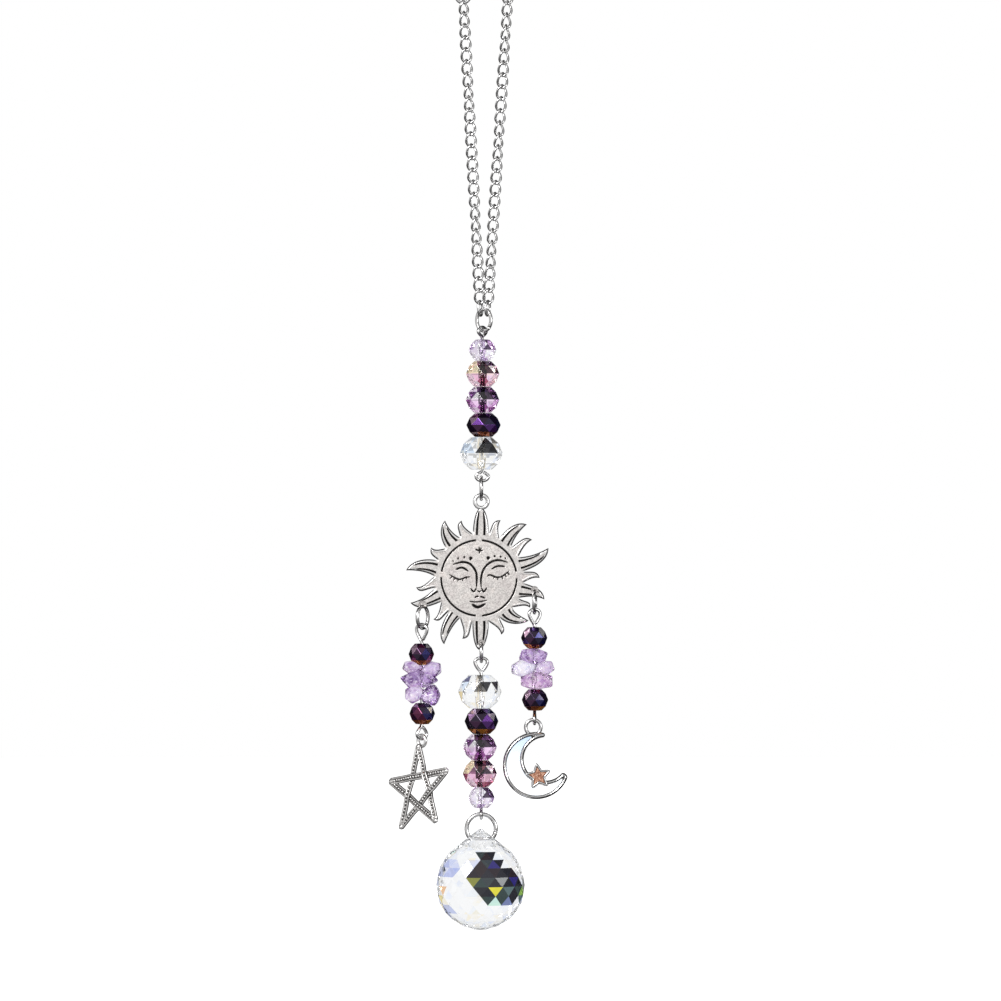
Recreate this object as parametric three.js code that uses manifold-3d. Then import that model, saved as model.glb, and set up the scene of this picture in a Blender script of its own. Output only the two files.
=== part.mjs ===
// A crystal suncatcher: a chain loop, strings of cut beads, a cast sun with two side strings that end in
// a star and a moon, and a cut crystal ball at the foot. Millimetres, +Z up, the front faces -Y.
// The origin is the point where the chain loop rests on a rod.
import * as THREE from 'three';
import { ConvexGeometry } from 'three/addons/geometries/ConvexGeometry.js';
import { mergeVertices } from 'three/addons/utils/BufferGeometryUtils.js';
import Module from 'manifold-3d';

const wasm = await Module();
wasm.setup();

// Shared wires and clearances
const pinWire = 0.76;
const ringWire = 0.85;
const smallRingWire = 0.7;
const eyeWidth = 3.7;
const clearance = 0.08;
const beadGap = 0.06;
const chipGap = 0.2;
const boreDiameter = 1.5;
const chipBore = 1.1;
const chipBoreReach = 8;

// Chain loop: two straight strands that lean apart and an arch over the rod
const linkPitch = 2.836;
const linkSection = 0.45;
const linkHalfWidth = 0.92;
const linkBite = 0.06;
const archRadius = 8.05;
const chainRise = 1.2;
const leftLean = THREE.MathUtils.degToRad(3.15);
const rightLean = THREE.MathUtils.degToRad(3.73);
const strandFootZ = -126.6;
const footSpread = 0.5;
const leftLinks = 26;
const topLinks = 22;
const nodeGap = 0.2;
// Where a strand turns over: the middle of the turn along the chain, its reach, and the angle
const chainTurns = [[20.5, 17, Math.PI], [227, 12, -Math.PI], [251, 12, Math.PI]];

// Levels of the drop, from the top ring to the ball
const upperX = -1.0;
const lowerX = -1.25;
const topRing = { x: -0.6, width: 4.5, height: 5.95, top: -126.4, yaw: -0.44 };
const upperPinTop = -130.64;
const upperPinBottom = -167.53;
const upperBeadsTop = -133.95;
const sunRingDiameter = 6.04;
const sunCentre = { x: -1.79, z: -189.97 };
const sunLoop = { x: -1.22, z: -172.0, outer: 3.95, hole: 2.1 };
const lowerRingDiameter = 5.04;
const lowerPinTop = -208.36;
const lowerPinBottom = -246.81;
const lowerBeadsTop = -212.75;
const ballRing = { z: -248.9, diameter: 7.87, wire: 1.0 };
const ballCentre = { x: -1.4, z: -262.1 };

// Cut beads on the drop: colour, diameter, length, and how far each sits off the pin
const upperBeads = [
  ['lilac', 6.5, 5.0, 0.07],
  ['rose', 7.9, 6.0, 0.1],
  ['violet', 7.9, 6.1, 0.07],
  ['dark', 8.1, 5.6, 0.3],
  ['clear', 10.0, 7.6, -0.22],
];
const lowerBeads = [
  ['clear', 10.2, 7.8, -0.3],
  ['dark', 8.0, 6.0, 0.07],
  ['violet', 8.0, 6.05, -0.3],
  ['rose', 8.1, 6.3, -0.3],
  ['lilac', 6.25, 4.85, 0.05],
];

// Sun: angles are clockwise from the top, in degrees
const sunThickness = 1.0;
const grooveDepth = 0.32;
const faceLineRadius = 8.86;
const valleyRadius = 10.4;
// Each flame: the angle of its tip, its reach, and the angle of the valley after it
const flames = [
  [1.8, 16.6, 12.4], [20.7, 14.5, 27.1], [41.8, 16.9, 46.5], [54.4, 15.4, 62.1], [66.6, 17.8, 81.6],
  [90, 14.3, 96.2], [108.2, 16.2, 116.6], [120.3, 13.9, 131], [130.6, 15.4, 152.4], [158.5, 14.3, 167.5],
  [179.5, 16.9, 188.4], [195.3, 14.8, 205], [207.6, 17.6, 221.8], [227.8, 14.45, 237.5], [250.1, 17.1, 257.2],
  [261.6, 14.9, 272], [276, 17.2, 293.4], [302.7, 13.3, 312.1], [329.6, 15.7, 335.3], [343.4, 14.1, 352.2],
];
const leftHole = { x: -15.0, z: -196.2, radius: 0.95 };
const rightHole = { x: 11.3, z: -192.7, radius: 0.85 };
const bottomHole = { x: -1.2, z: -205.15, radius: 0.78 };

// Side strings
const sideRingDiameter = 6.04;
const leftX = -15.2;
const rightX = 11.3;
const sideBeadLength = 5.0;
const leftBeads = { top: -205.35, bottom: -219.3, diameter: 6.05 };
const rightBeads = { top: -201.5, bottom: -216.1, diameter: 6.25 };
const leftPinBottom = -228.15;
const rightPinBottom = -224.6;

// Star of five crossing bars
const star = {
  x: -15.95, y: -2.3, z: -239.5, reach: 10.1, tip: 10.7, bar: 1.75, thickness: 1.5, yaw: -0.82, lean: 0.22,
};
const starLoop = { z: -228.2, outer: 3.4, wire: 0.8 };

// Moon: a crescent frame, its inlay and a small star
const moon = { x: 11.7, z: -234.04, radius: 7.9, bar: 1.0, thickness: 1.6, pocket: 0.8 };
const moonInner = { x: 2.12, y: 1.55, radius: 5.08 };
const moonLoop = { x: -0.71, y: 8.98, outer: 4.32, wire: 0.75 };
const moonStar = { x: 0.47, y: -2.49, reach: 2.95, waist: 1.45, proud: 0.4, rim: 0.45, tilt: 0.14 };

// Clasp in the left strand
const clasp = { length: 10.5, claw: 5.6, hole: 2.9, neck: 2.6, thickness: 2.0, eye: 2.6, eyeWire: 0.8 };
const claspRingDiameter = 4.0;
const endRingDiameter = 4.6;

// Materials
const finish = (color, roughness, metalness) => new THREE.MeshStandardMaterial({ color, roughness, metalness });
const silver = finish(0xc9c9cc, 0.2, 1);
const castSilver = finish(0xb9b4b0, 0.4, 1);
const crystal = { lilac: 0xd9bfe8, rose: 0xb75a9b, violet: 0x8a45c0, dark: 0x3a1440, clear: 0xe8eef5 };
const glass = (colour) => finish(crystal[colour], 0.05, 0);

// Solids from closed geometries
function solidOf(geometry) {
  const bare = geometry.clone();
  bare.deleteAttribute('normal');
  bare.deleteAttribute('uv');
  const merged = mergeVertices(bare, 1e-4);
  return new wasm.Manifold(new wasm.Mesh({
    numProp: 3,
    vertProperties: new Float32Array(merged.attributes.position.array),
    triVerts: new Uint32Array(merged.index.array),
  }));
}

function geometryOf(solid) {
  const mesh = solid.getMesh();
  const geometry = new THREE.BufferGeometry();
  geometry.setAttribute('position', new THREE.BufferAttribute(mesh.vertProperties, 3));
  geometry.setIndex(new THREE.BufferAttribute(mesh.triVerts, 1));
  geometry.computeVertexNormals();
  return geometry;
}

const joined = (geometries) => geometries.map(solidOf).reduce((sum, next) => sum.add(next));
const cut = (solid, geometries) => geometries.map(solidOf).reduce((rest, next) => rest.subtract(next), solid);

const suncatcher = new THREE.Group();
suncatcher.name = 'crystal_suncatcher';

function addPart(name, geometry, material) {
  const mesh = new THREE.Mesh(geometry, material);
  mesh.name = name;
  suncatcher.add(mesh);
  return mesh;
}

// A wire ring or oval that stands in the XZ plane, turned about Z by yaw
function ring(width, height, wire, yaw = 0, segments = 8) {
  const geometry = new THREE.TorusGeometry((width - wire) / 2, wire / 2, 4, segments);
  const stretch = (height - width) / 2;
  const position = geometry.attributes.position;
  for (let i = 0; i < position.count; i += 1) {
    const angle = Math.atan2(position.getY(i), position.getX(i));
    position.setY(i, position.getY(i) + stretch * Math.sin(angle));
  }
  return geometry.rotateX(Math.PI / 2).rotateZ(yaw);
}

// A round bar along Z
const bar = (radius, bottom, top, sides = 6) => new THREE.CylinderGeometry(radius, radius, top - bottom, sides)
  .rotateX(Math.PI / 2)
  .translate(0, 0, (top + bottom) / 2);

// A pin bent into an eye at both ends
function eyePin(top, bottom, topYaw, bottomYaw, eyeHeight) {
  const upperEye = ring(eyeWidth, eyeHeight, pinWire, topYaw).translate(0, 0, top - eyeHeight / 2);
  const lowerEye = ring(eyeWidth, eyeHeight, pinWire, bottomYaw).translate(0, 0, bottom + eyeHeight / 2);
  const reach = eyeHeight - pinWire / 2;
  return geometryOf(joined([bar(pinWire / 2, bottom + reach, top - reach), upperEye, lowerEye]));
}

// Points of a level ring of facet corners
function cornerRing(count, radius, z, phase) {
  return Array.from({ length: count }, (unused, i) => {
    const angle = (2 * Math.PI * (i + phase)) / count;
    return new THREE.Vector3(radius * Math.cos(angle), radius * Math.sin(angle), z);
  });
}

// A cut rondelle bead: five staggered rings of corners and a bore along Z
function bead(diameter, length, count) {
  const rows = [[0.25, 0.5, 0], [0.435, 0.3, 0.5], [0.5, 0, 0], [0.435, -0.3, 0.5], [0.25, -0.5, 0]];
  const corners = rows.flatMap(([reach, rise, phase]) => (
    cornerRing(count, diameter * reach, length * rise, phase)
  ));
  const bore = bar(boreDiameter / 2, -length, length);
  return geometryOf(cut(solidOf(new ConvexGeometry(corners)), [bore]));
}

// A tumbled chip without its bore: the hull of a stone body and of the waist where the pin passes through it
function chip(body, waist, turn) {
  const lump = (shape, centre, half, spin) => {
    shape.rotateY(spin).rotateX(spin * 0.7);
    shape.scale(half[0], half[1], half[2]).translate(centre[0], centre[1], centre[2]);
    const position = shape.attributes.position;
    return Array.from({ length: position.count }, (unused, i) => (
      new THREE.Vector3().fromBufferAttribute(position, i)
    ));
  };
  const half = [body.halfWidth, body.halfDepth, body.halfHeight];
  const stone = lump(new THREE.IcosahedronGeometry(1, 0), [body.x, body.y, body.z], half, turn);
  const neckCentre = [Math.sign(body.x) * 0.35, 0, waist.z];
  const neck = lump(new THREE.OctahedronGeometry(1, 0), neckCentre, [1.25, 1.4, waist.halfHeight], 0);
  return solidOf(new ConvexGeometry([...stone, ...neck]));
}

// The same solid a little larger all round, for the room that its neighbour leaves it
function grown(solid, gap) {
  const { min, max } = solid.boundingBox();
  const centre = min.map((low, i) => (low + max[i]) / 2);
  const factor = min.map((low, i) => 1 + (2 * gap) / (max[i] - low));
  return solid.translate(centre.map((c) => -c)).scale(factor).translate(centre);
}

// Flat pieces are drawn in their own plane with y up and z to the front, then stood up
const plate = (shape, front, back, segments) => new THREE.ExtrudeGeometry(shape, {
  depth: front - back,
  bevelEnabled: false,
  curveSegments: segments,
}).translate(0, 0, back);
const stand = (geometry) => geometry.rotateX(Math.PI / 2);

function polygon(points) {
  return new THREE.Shape(points.map(([x, y]) => new THREE.Vector2(x, y)));
}

function disc(x, y, radius, sides) {
  const corners = Array.from({ length: sides }, (unused, i) => {
    const angle = (2 * Math.PI * i) / sides;
    return [x + radius * Math.cos(angle), y + radius * Math.sin(angle)];
  });
  return polygon(corners);
}

function flatRing(x, y, outer, hole, sides) {
  const shape = disc(x, y, outer / 2, sides);
  shape.holes.push(disc(x, y, hole / 2, sides));
  return shape;
}

// Chain route: up the left strand, over the arch and down the right strand
const archCentreZ = chainRise - archRadius;
const leftLength = (archCentreZ - archRadius * Math.sin(leftLean) - strandFootZ) / Math.cos(leftLean);
const rightLength = (archCentreZ - archRadius * Math.sin(rightLean) - strandFootZ) / Math.cos(rightLean);
const archLength = archRadius * (Math.PI + leftLean + rightLean);
const routeLength = leftLength + archLength + rightLength;

function route(s) {
  const onArch = THREE.MathUtils.clamp((s - leftLength) / archRadius, 0, archLength / archRadius);
  const heading = Math.PI + leftLean - onArch;
  const outward = new THREE.Vector3(Math.cos(heading), 0, Math.sin(heading));
  const along = new THREE.Vector3(outward.z, 0, -outward.x);
  const straight = Math.min(s - leftLength, 0) + Math.max(s - leftLength - archLength, 0);
  const point = outward.clone().multiplyScalar(archRadius).addScaledVector(along, straight);
  point.z += archCentreZ;
  const left = Math.max(1 - s / leftLength, 0);
  const right = Math.max(1 - (routeLength - s) / rightLength, 0);
  point.y = footSpread * (left - right);
  return { point, along };
}

// One curb link of three-sided wire with an edge inward, twisted a quarter turn end to end unless flat
function link(s, roll, twist) {
  const halfLength = linkPitch / 2 + linkSection * Math.SQRT1_2 - linkBite;
  const radius = linkHalfWidth * Math.SQRT2;
  const geometry = new THREE.TorusGeometry(radius, linkSection, 3, 4).rotateZ(Math.PI / 4);
  const stretch = (halfLength - linkHalfWidth) * Math.SQRT2;
  const position = geometry.attributes.position;
  const vertex = new THREE.Vector3();
  const lengthwise = new THREE.Vector3(1, 0, 0);
  for (let i = 0; i < position.count; i += 1) {
    vertex.fromBufferAttribute(position, i);
    const edgeInward = (2 * radius) / Math.hypot(vertex.x, vertex.y) - 1;
    vertex.multiply(new THREE.Vector3(edgeInward, edgeInward, -1));
    vertex.x += stretch * Math.cos(Math.atan2(vertex.y, vertex.x));
    vertex.applyAxisAngle(lengthwise, twist * (Math.PI / 4) * (vertex.x / halfLength));
    position.setXYZ(i, vertex.x, vertex.y, vertex.z);
  }
  const { point, along } = route(s);
  const across = new THREE.Vector3(0, 1, 0).cross(along);
  const wide = across.multiplyScalar(Math.cos(roll)).add(new THREE.Vector3(0, Math.sin(roll), 0));
  const deep = along.clone().cross(wide);
  return geometry.applyMatrix4(new THREE.Matrix4().makeBasis(along, wide, deep).setPosition(point));
}

const footRoll = Math.PI / 2 + topRing.yaw;
const startRoll = footRoll - Math.PI / 4;
const endRoll = 2 * Math.PI - startRoll;
const rollAt = (s) => {
  const turns = chainTurns.reduce((sum, [middle, reach, turn]) => (
    sum + turn * THREE.MathUtils.smoothstep(s, middle - reach, middle + reach)
  ), 0);
  return THREE.MathUtils.lerp(startRoll, endRoll - Math.PI, s / routeLength) + turns;
};

function addChain(name, first, count, pitch, flatLink) {
  const links = Array.from({ length: count }, (unused, i) => {
    const s = first + i * pitch;
    return i === flatLink ? link(s, i === 0 ? footRoll : Math.PI - footRoll, 0) : link(s, rollAt(s), 1);
  });
  addPart(name, geometryOf(joined(links)), silver);
}

// Clasp: a claw plate with an eye, a thumb lever that closes the claw, and the two rings that it joins
const leftEnd = (leftLinks - 1) * linkPitch;
const linkReach = linkPitch / 2 + 0.31;
const claspRingS = leftEnd + linkReach - 0.66 - clearance + (claspRingDiameter - smallRingWire) / 2;
const claspEyeS = claspRingS + (claspRingDiameter - smallRingWire) / 2 - 0.75 - clearance
  + (clasp.eye - clasp.eyeWire) / 2;
const clawS = claspEyeS + clasp.length - clasp.eye / 2 - clasp.claw / 2;
const endRingSag = 0.36;
const endRingRadius = (endRingDiameter - smallRingWire) / 2;
const endRingS = clawS + clasp.hole / 2 - smallRingWire / 2 - endRingSag + endRingRadius;
const topStart = endRingS + endRingRadius - 0.66 - clearance + linkReach;

function onStrand(geometry, s) {
  const { point } = route(s);
  return geometry.rotateY(-leftLean).translate(point.x, point.y, point.z);
}

function addClasp() {
  const clawRise = clawS - claspEyeS;
  const clawOuter = clasp.claw / 2;
  const body = polygon([
    [-clasp.neck / 2, 0.9], [clasp.neck / 2, 0.9],
    [clawOuter - 0.2, clawRise - 1.6], [clawOuter - 0.9, clawRise],
    [0, clawRise - 0.6], [-1.2, clawRise - 1.8], [-clawOuter + 0.9, clawRise - 3.2],
  ]);
  const claw = new THREE.Shape();
  claw.absarc(0, clawRise, clawOuter, -1.9, 2.4, false);
  claw.absarc(0, clawRise, clasp.hole / 2, 2.4, -1.9, true);
  const lever = new THREE.Shape();
  lever.absarc(0, clawRise, clawOuter - 0.1, 2.48, 4.05, false);
  lever.absarc(0, clawRise, clasp.hole / 2 + 0.1, 4.05, 2.48, true);
  const tab = polygon([
    [-clawOuter + 0.5, clawRise - 0.3], [-clawOuter - 1.4, clawRise - 1.2],
    [-clawOuter - 1.2, clawRise - 2.0], [-clawOuter + 0.7, clawRise - 1.3],
  ]);
  const half = clasp.thickness / 2;
  const hole = plate(disc(0, clawRise, clasp.hole / 2, 12), clasp.thickness, -clasp.thickness, 4);
  const metal = joined([plate(body, half, -half, 4), plate(claw, half, -half, 6)]).subtract(solidOf(hole));
  const eye = ring(clasp.eye, clasp.eye, clasp.eyeWire, Math.PI / 2);
  const shell = solidOf(stand(geometryOf(metal))).add(solidOf(eye));
  addPart('clasp_claw', onStrand(geometryOf(shell), claspEyeS), silver);
  const leverHalf = half - 0.3;
  const leverSolid = joined([plate(lever, leverHalf, -leverHalf, 4), plate(tab, leverHalf, -leverHalf, 1)]);
  const room = plate(body, clasp.thickness, -clasp.thickness, 4).translate(-0.1, 0.12, 0);
  const freed = leverSolid.subtract(solidOf(room));
  addPart('clasp_lever', onStrand(stand(geometryOf(freed)), claspEyeS), silver);
  const lowRing = ring(claspRingDiameter, claspRingDiameter, smallRingWire);
  addPart('clasp_ring', onStrand(lowRing, claspRingS), silver);
  const endRing = ring(endRingDiameter, endRingDiameter, smallRingWire, Math.PI / 2);
  addPart('chain_end_ring', onStrand(endRing, endRingS), silver);
}

const rightStart = topStart + topLinks * linkPitch - nodeGap;
const rightLinks = Math.ceil((routeLength - rightStart) / linkPitch) + 1;
const rightPitch = (routeLength - rightStart) / (rightLinks - 1);
addChain('chain_left_strand', 0, leftLinks, linkPitch, 0);
addChain('chain_top', topStart, topLinks, linkPitch, -1);
addChain('chain_right_strand', rightStart, rightLinks, rightPitch, rightLinks - 1);
addClasp();

// Drop: rings, pins and the two strings of beads
const flatOfEight = Math.cos(Math.PI / 8);
const ringAt = (diameter, x, top, yaw) => ring(diameter, diameter, ringWire, yaw)
  .translate(x, 0, top - diameter / 2);
const topRingShape = ring(topRing.width, topRing.height, ringWire, topRing.yaw);
addPart('top_jump_ring', topRingShape.translate(topRing.x, 0, topRing.top - topRing.height / 2), silver);
const upperPin = eyePin(upperPinTop, upperPinBottom, 0.9, 0, 2.95).translate(upperX, 0, 0);
addPart('upper_pin', upperPin, silver);
const sunRingTop = upperPinBottom + pinWire + clearance + ringWire;
addPart('sun_ring', ringAt(sunRingDiameter, sunLoop.x, sunRingTop, Math.PI / 2), silver);
const lowerRingTop = bottomHole.z - bottomHole.radius * flatOfEight + clearance + ringWire;
addPart('lower_ring', ringAt(lowerRingDiameter, bottomHole.x, lowerRingTop, Math.PI / 2), silver);
const lowerPin = eyePin(lowerPinTop, lowerPinBottom, 0.1, Math.PI / 2, 2.85).translate(lowerX, 0, 0);
addPart('lower_pin', lowerPin, silver);

function addBeads(prefix, beads, top, x) {
  let level = top;
  for (const [colour, diameter, length, offset] of beads) {
    const shape = bead(diameter, length, colour === 'clear' ? 10 : 8);
    addPart(`${prefix}_${colour}_bead`, shape.translate(x + offset, 0, level - length / 2), glass(colour));
    level -= length + beadGap;
  }
}
addBeads('upper', upperBeads, upperBeadsTop, upperX);
addBeads('lower', lowerBeads, lowerBeadsTop, lowerX);

// Sun
const clockwise = (angle, radius) => {
  const turn = THREE.MathUtils.degToRad(90 - angle);
  return new THREE.Vector2(radius * Math.cos(turn), radius * Math.sin(turn));
};

// Long flames curl by turns to either side, short ones curl clockwise; the top and bottom ones are straight
function flameCurl(index) {
  if (index === 0 || index === 10) return 0;
  return index % 4 === 0 ? -1 : 1;
}

function sunOutline() {
  const shape = new THREE.Shape();
  const count = flames.length;
  const start = clockwise(flames[count - 1][2] - 360, valleyRadius);
  shape.moveTo(start.x, start.y);
  flames.forEach(([tip, reach, after], index) => {
    const before = flames[(index + count - 1) % count][2] - (index === 0 ? 360 : 0);
    const width = after - before;
    const rise = reach - valleyRadius;
    const curl = flameCurl(index);
    const full = [0.12, 0.5, 8, 0.9];
    const hollow = [0.2, 0.25, -1.5, 0.55];
    const plain = [0.08, 0.45, 4.5, 0.95];
    const [rootIn, rootOut] = curl === 0 ? [plain, plain] : curl > 0 ? [full, hollow] : [hollow, full];
    const point = clockwise(tip, reach);
    const a = clockwise(before + rootIn[0] * width, valleyRadius + rootIn[1] * rise);
    const b = clockwise(tip - rootIn[2], valleyRadius + rootIn[3] * rise);
    shape.bezierCurveTo(a.x, a.y, b.x, b.y, point.x, point.y);
    const c = clockwise(tip + rootOut[2], valleyRadius + rootOut[3] * rise);
    const d = clockwise(after - rootOut[0] * width, valleyRadius + rootOut[1] * rise);
    const valley = clockwise(after, valleyRadius);
    shape.bezierCurveTo(c.x, c.y, d.x, d.y, valley.x, valley.y);
  });
  return shape;
}

// A cutter for an engraved line of even width with pointed ends
function engraved(points, width) {
  const left = [];
  const right = [];
  points.forEach((point, i) => {
    const before = points[Math.max(i - 1, 0)];
    const after = points[Math.min(i + 1, points.length - 1)];
    const side = new THREE.Vector2(before.y - after.y, after.x - before.x).normalize();
    const half = i === 0 || i === points.length - 1 ? width * 0.2 : width / 2;
    left.push(point.clone().addScaledVector(side, half));
    right.unshift(point.clone().addScaledVector(side, -half));
  });
  const shape = new THREE.Shape([...left, ...right].reverse());
  return plate(shape, sunThickness, sunThickness / 2 - grooveDepth, 1);
}

function through(pairs, count) {
  const points = pairs.map(([x, y]) => new THREE.Vector2(x, y));
  return new THREE.SplineCurve(points).getPoints(count);
}

const mirrored = (pairs) => pairs.map(([x, y]) => [-x, y]);

// Face lines on the right half, from the face centre, mirrored to the left
const browAndNose = [[6.7, 3.7], [4.6, 4.2], [2.6, 3.6], [1.1, 2.0], [0.45, -0.2], [0.55, -2.2]];
const eyeLine = [[2.0, 0.4], [2.7, 0.7], [4.3, 0.1], [5.8, 0.6], [7.0, 1.6]];
const lidLine = [[3.0, 2.1], [4.4, 2.8], [6.1, 2.7]];
const nostril = [[0.6, -2.5], [1.15, -3.2], [1.85, -2.4]];
const upperLip = [[0.25, -4.35], [0.7, -4.45], [1.4, -4.7]];
const mouth = [[-2.2, -5.5], [-0.4, -5.6], [1.9, -5.25]];
const lowerLip = [[-1.6, -6.2], [-0.2, -6.9], [1.5, -6.05]];
const browMark = { x: 0.1, y: 6.5, radius: 0.85 };

function sunGrooves() {
  const grooves = [];
  const faceGap = 4;
  const arcSteps = 5;
  for (let quarter = 0; quarter < 4; quarter += 1) {
    const arc = Array.from({ length: arcSteps + 1 }, (unused, i) => clockwise(
      quarter * 90 + faceGap + (i * (90 - 2 * faceGap)) / arcSteps,
      faceLineRadius,
    ));
    grooves.push(engraved(arc, 0.5));
  }
  flames.forEach(([tip, reach, after], index) => {
    if (index % 2 === 1) return;
    const before = flames[(index + flames.length - 1) % flames.length][2] - (index === 0 ? 360 : 0);
    const middle = (before + after) / 2;
    const spread = (after - before) * 0.24;
    const root = faceLineRadius + 1.2;
    const end = valleyRadius + 0.52 * (reach - valleyRadius);
    for (const side of [-1, 1]) {
      const line = [
        clockwise(middle + side * spread, root),
        clockwise(THREE.MathUtils.lerp(middle, tip, 0.25) + side * spread * 0.72, (root + end) / 2),
        clockwise(THREE.MathUtils.lerp(middle, tip, 0.6) + side * spread * 0.3, end),
      ];
      grooves.push(engraved(line, 0.42));
    }
  });
  for (const [line, width, count] of [[browAndNose, 0.55, 6], [eyeLine, 0.42, 4], [lidLine, 0.42, 3],
    [nostril, 0.42, 3], [upperLip, 0.42, 2]]) {
    grooves.push(engraved(through(line, count), width));
    grooves.push(engraved(through(mirrored(line), count), width));
  }
  grooves.push(engraved(through(mouth, 4), 0.36));
  grooves.push(engraved(through(lowerLip, 4), 0.6));
  const mark = disc(browMark.x, browMark.y, browMark.radius, 5);
  grooves.push(plate(mark, sunThickness, sunThickness / 2 - grooveDepth, 1));
  return grooves;
}

function addSun() {
  const half = sunThickness / 2;
  const loopX = sunLoop.x - sunCentre.x;
  const loopY = sunLoop.z - sunCentre.z;
  const loop = plate(flatRing(loopX, loopY, sunLoop.outer, sunLoop.hole, 12), half, -half, 1);
  const holes = [leftHole, rightHole, bottomHole].map(({ x, z, radius }) => plate(
    disc(x - sunCentre.x, z - sunCentre.z, radius, 8),
    sunThickness,
    -sunThickness,
    1,
  ));
  holes.push(plate(disc(loopX, loopY, sunLoop.hole / 2, 12), sunThickness, -sunThickness, 1));
  const blank = solidOf(plate(sunOutline(), half, -half, 3)).add(solidOf(loop));
  const sun = cut(cut(blank, holes), sunGrooves());
  addPart('sun', stand(geometryOf(sun)).translate(sunCentre.x, 0, sunCentre.z), castSilver);
}
addSun();

// Side strings: a ring in the sun's flame, an eye pin, a dark bead, chips, a dark bead and a pendant.
// The larger chips keep their shape and the smaller ones nest against them.
function addSideString(side, x, hole, beads, pinBottom, yaws, stones) {
  const ringTop = hole.z - hole.radius * flatOfEight + clearance + ringWire;
  addPart(`${side}_ring`, ringAt(sideRingDiameter, hole.x, ringTop, yaws.ring), silver);
  const pinTop = ringTop - sideRingDiameter + ringWire + clearance + pinWire;
  addPart(`${side}_pin`, eyePin(pinTop, pinBottom, yaws.top, yaws.bottom, 3.1).translate(x, 0, 0), silver);
  const neighbours = [];
  for (const [level, offset] of [['top', -0.1], ['bottom', 0.1]]) {
    const middle = beads[level] - sideBeadLength / 2;
    const shape = bead(beads.diameter, sideBeadLength, 8).translate(offset, 0, middle);
    neighbours.push(solidOf(shape));
    addPart(`${side}_${level}_bead`, shape.translate(x, 0, 0), glass('dark'));
  }
  const bySize = stones.map(([colour, body, waist, turn], index) => (
    { name: `${side}_chip_${index + 1}`, colour, middle: waist.z, whole: chip(body, waist, turn) }
  )).sort((a, b) => b.whole.volume() - a.whole.volume());
  for (const { name, colour, middle, whole } of bySize) {
    const nested = neighbours.reduce((rest, next) => rest.subtract(grown(next, chipGap)), whole);
    neighbours.push(whole);
    const bore = bar(chipBore / 2, middle - chipBoreReach, middle + chipBoreReach);
    addPart(name, geometryOf(cut(nested, [bore])).translate(x, 0, 0), glass(colour));
  }
}

const stone = (x, y, z, halfWidth, halfDepth, halfHeight) => ({ x, y, z, halfWidth, halfDepth, halfHeight });
const waist = (z, halfHeight) => ({ z, halfHeight });
const leftStones = [
  ['lilac', stone(-2.6, -0.9, -210.85, 1.9, 2.1, 1.5), waist(-211.0, 0.4), 0.3],
  ['lilac', stone(2.5, 0.5, -211.4, 2.3, 2.1, 1.9), waist(-211.6, 0.4), 1.1],
  ['violet', stone(-0.6, -0.5, -213.75, 4.4, 2.9, 2.2), waist(-213.7, 1.1), 0.7],
  ['lilac', stone(-2.1, -0.7, -217.3, 1.9, 2.1, 2.1), waist(-216.35, 0.5), 1.7],
  ['lilac', stone(2.4, 0.3, -217.5, 2.0, 2.2, 2.7), waist(-218.1, 0.8), 2.2],
];
const rightStones = [
  ['violet', stone(-0.3, -0.4, -208.3, 3.5, 2.7, 2.0), waist(-208.0, 1.2), 0.2],
  ['clear', stone(-2.9, -0.7, -211.2, 2.8, 2.2, 2.0), waist(-210.2, 0.5), 1.4],
  ['lilac', stone(2.5, 0.2, -211.0, 2.2, 2.1, 1.7), waist(-211.85, 0.65), 0.9],
  ['lilac', stone(0.5, -0.4, -214.1, 4.4, 2.8, 2.2), waist(-214.0, 1.5), 1.9],
];
const leftYaws = { ring: 1.08, top: -0.55, bottom: 0.72 };
const rightYaws = { ring: 1.5, top: 0.5, bottom: 1.5 };
addSideString('left', leftX, leftHole, leftBeads, leftPinBottom, leftYaws, leftStones);
addSideString('right', rightX, rightHole, rightBeads, rightPinBottom, rightYaws, rightStones);

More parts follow.
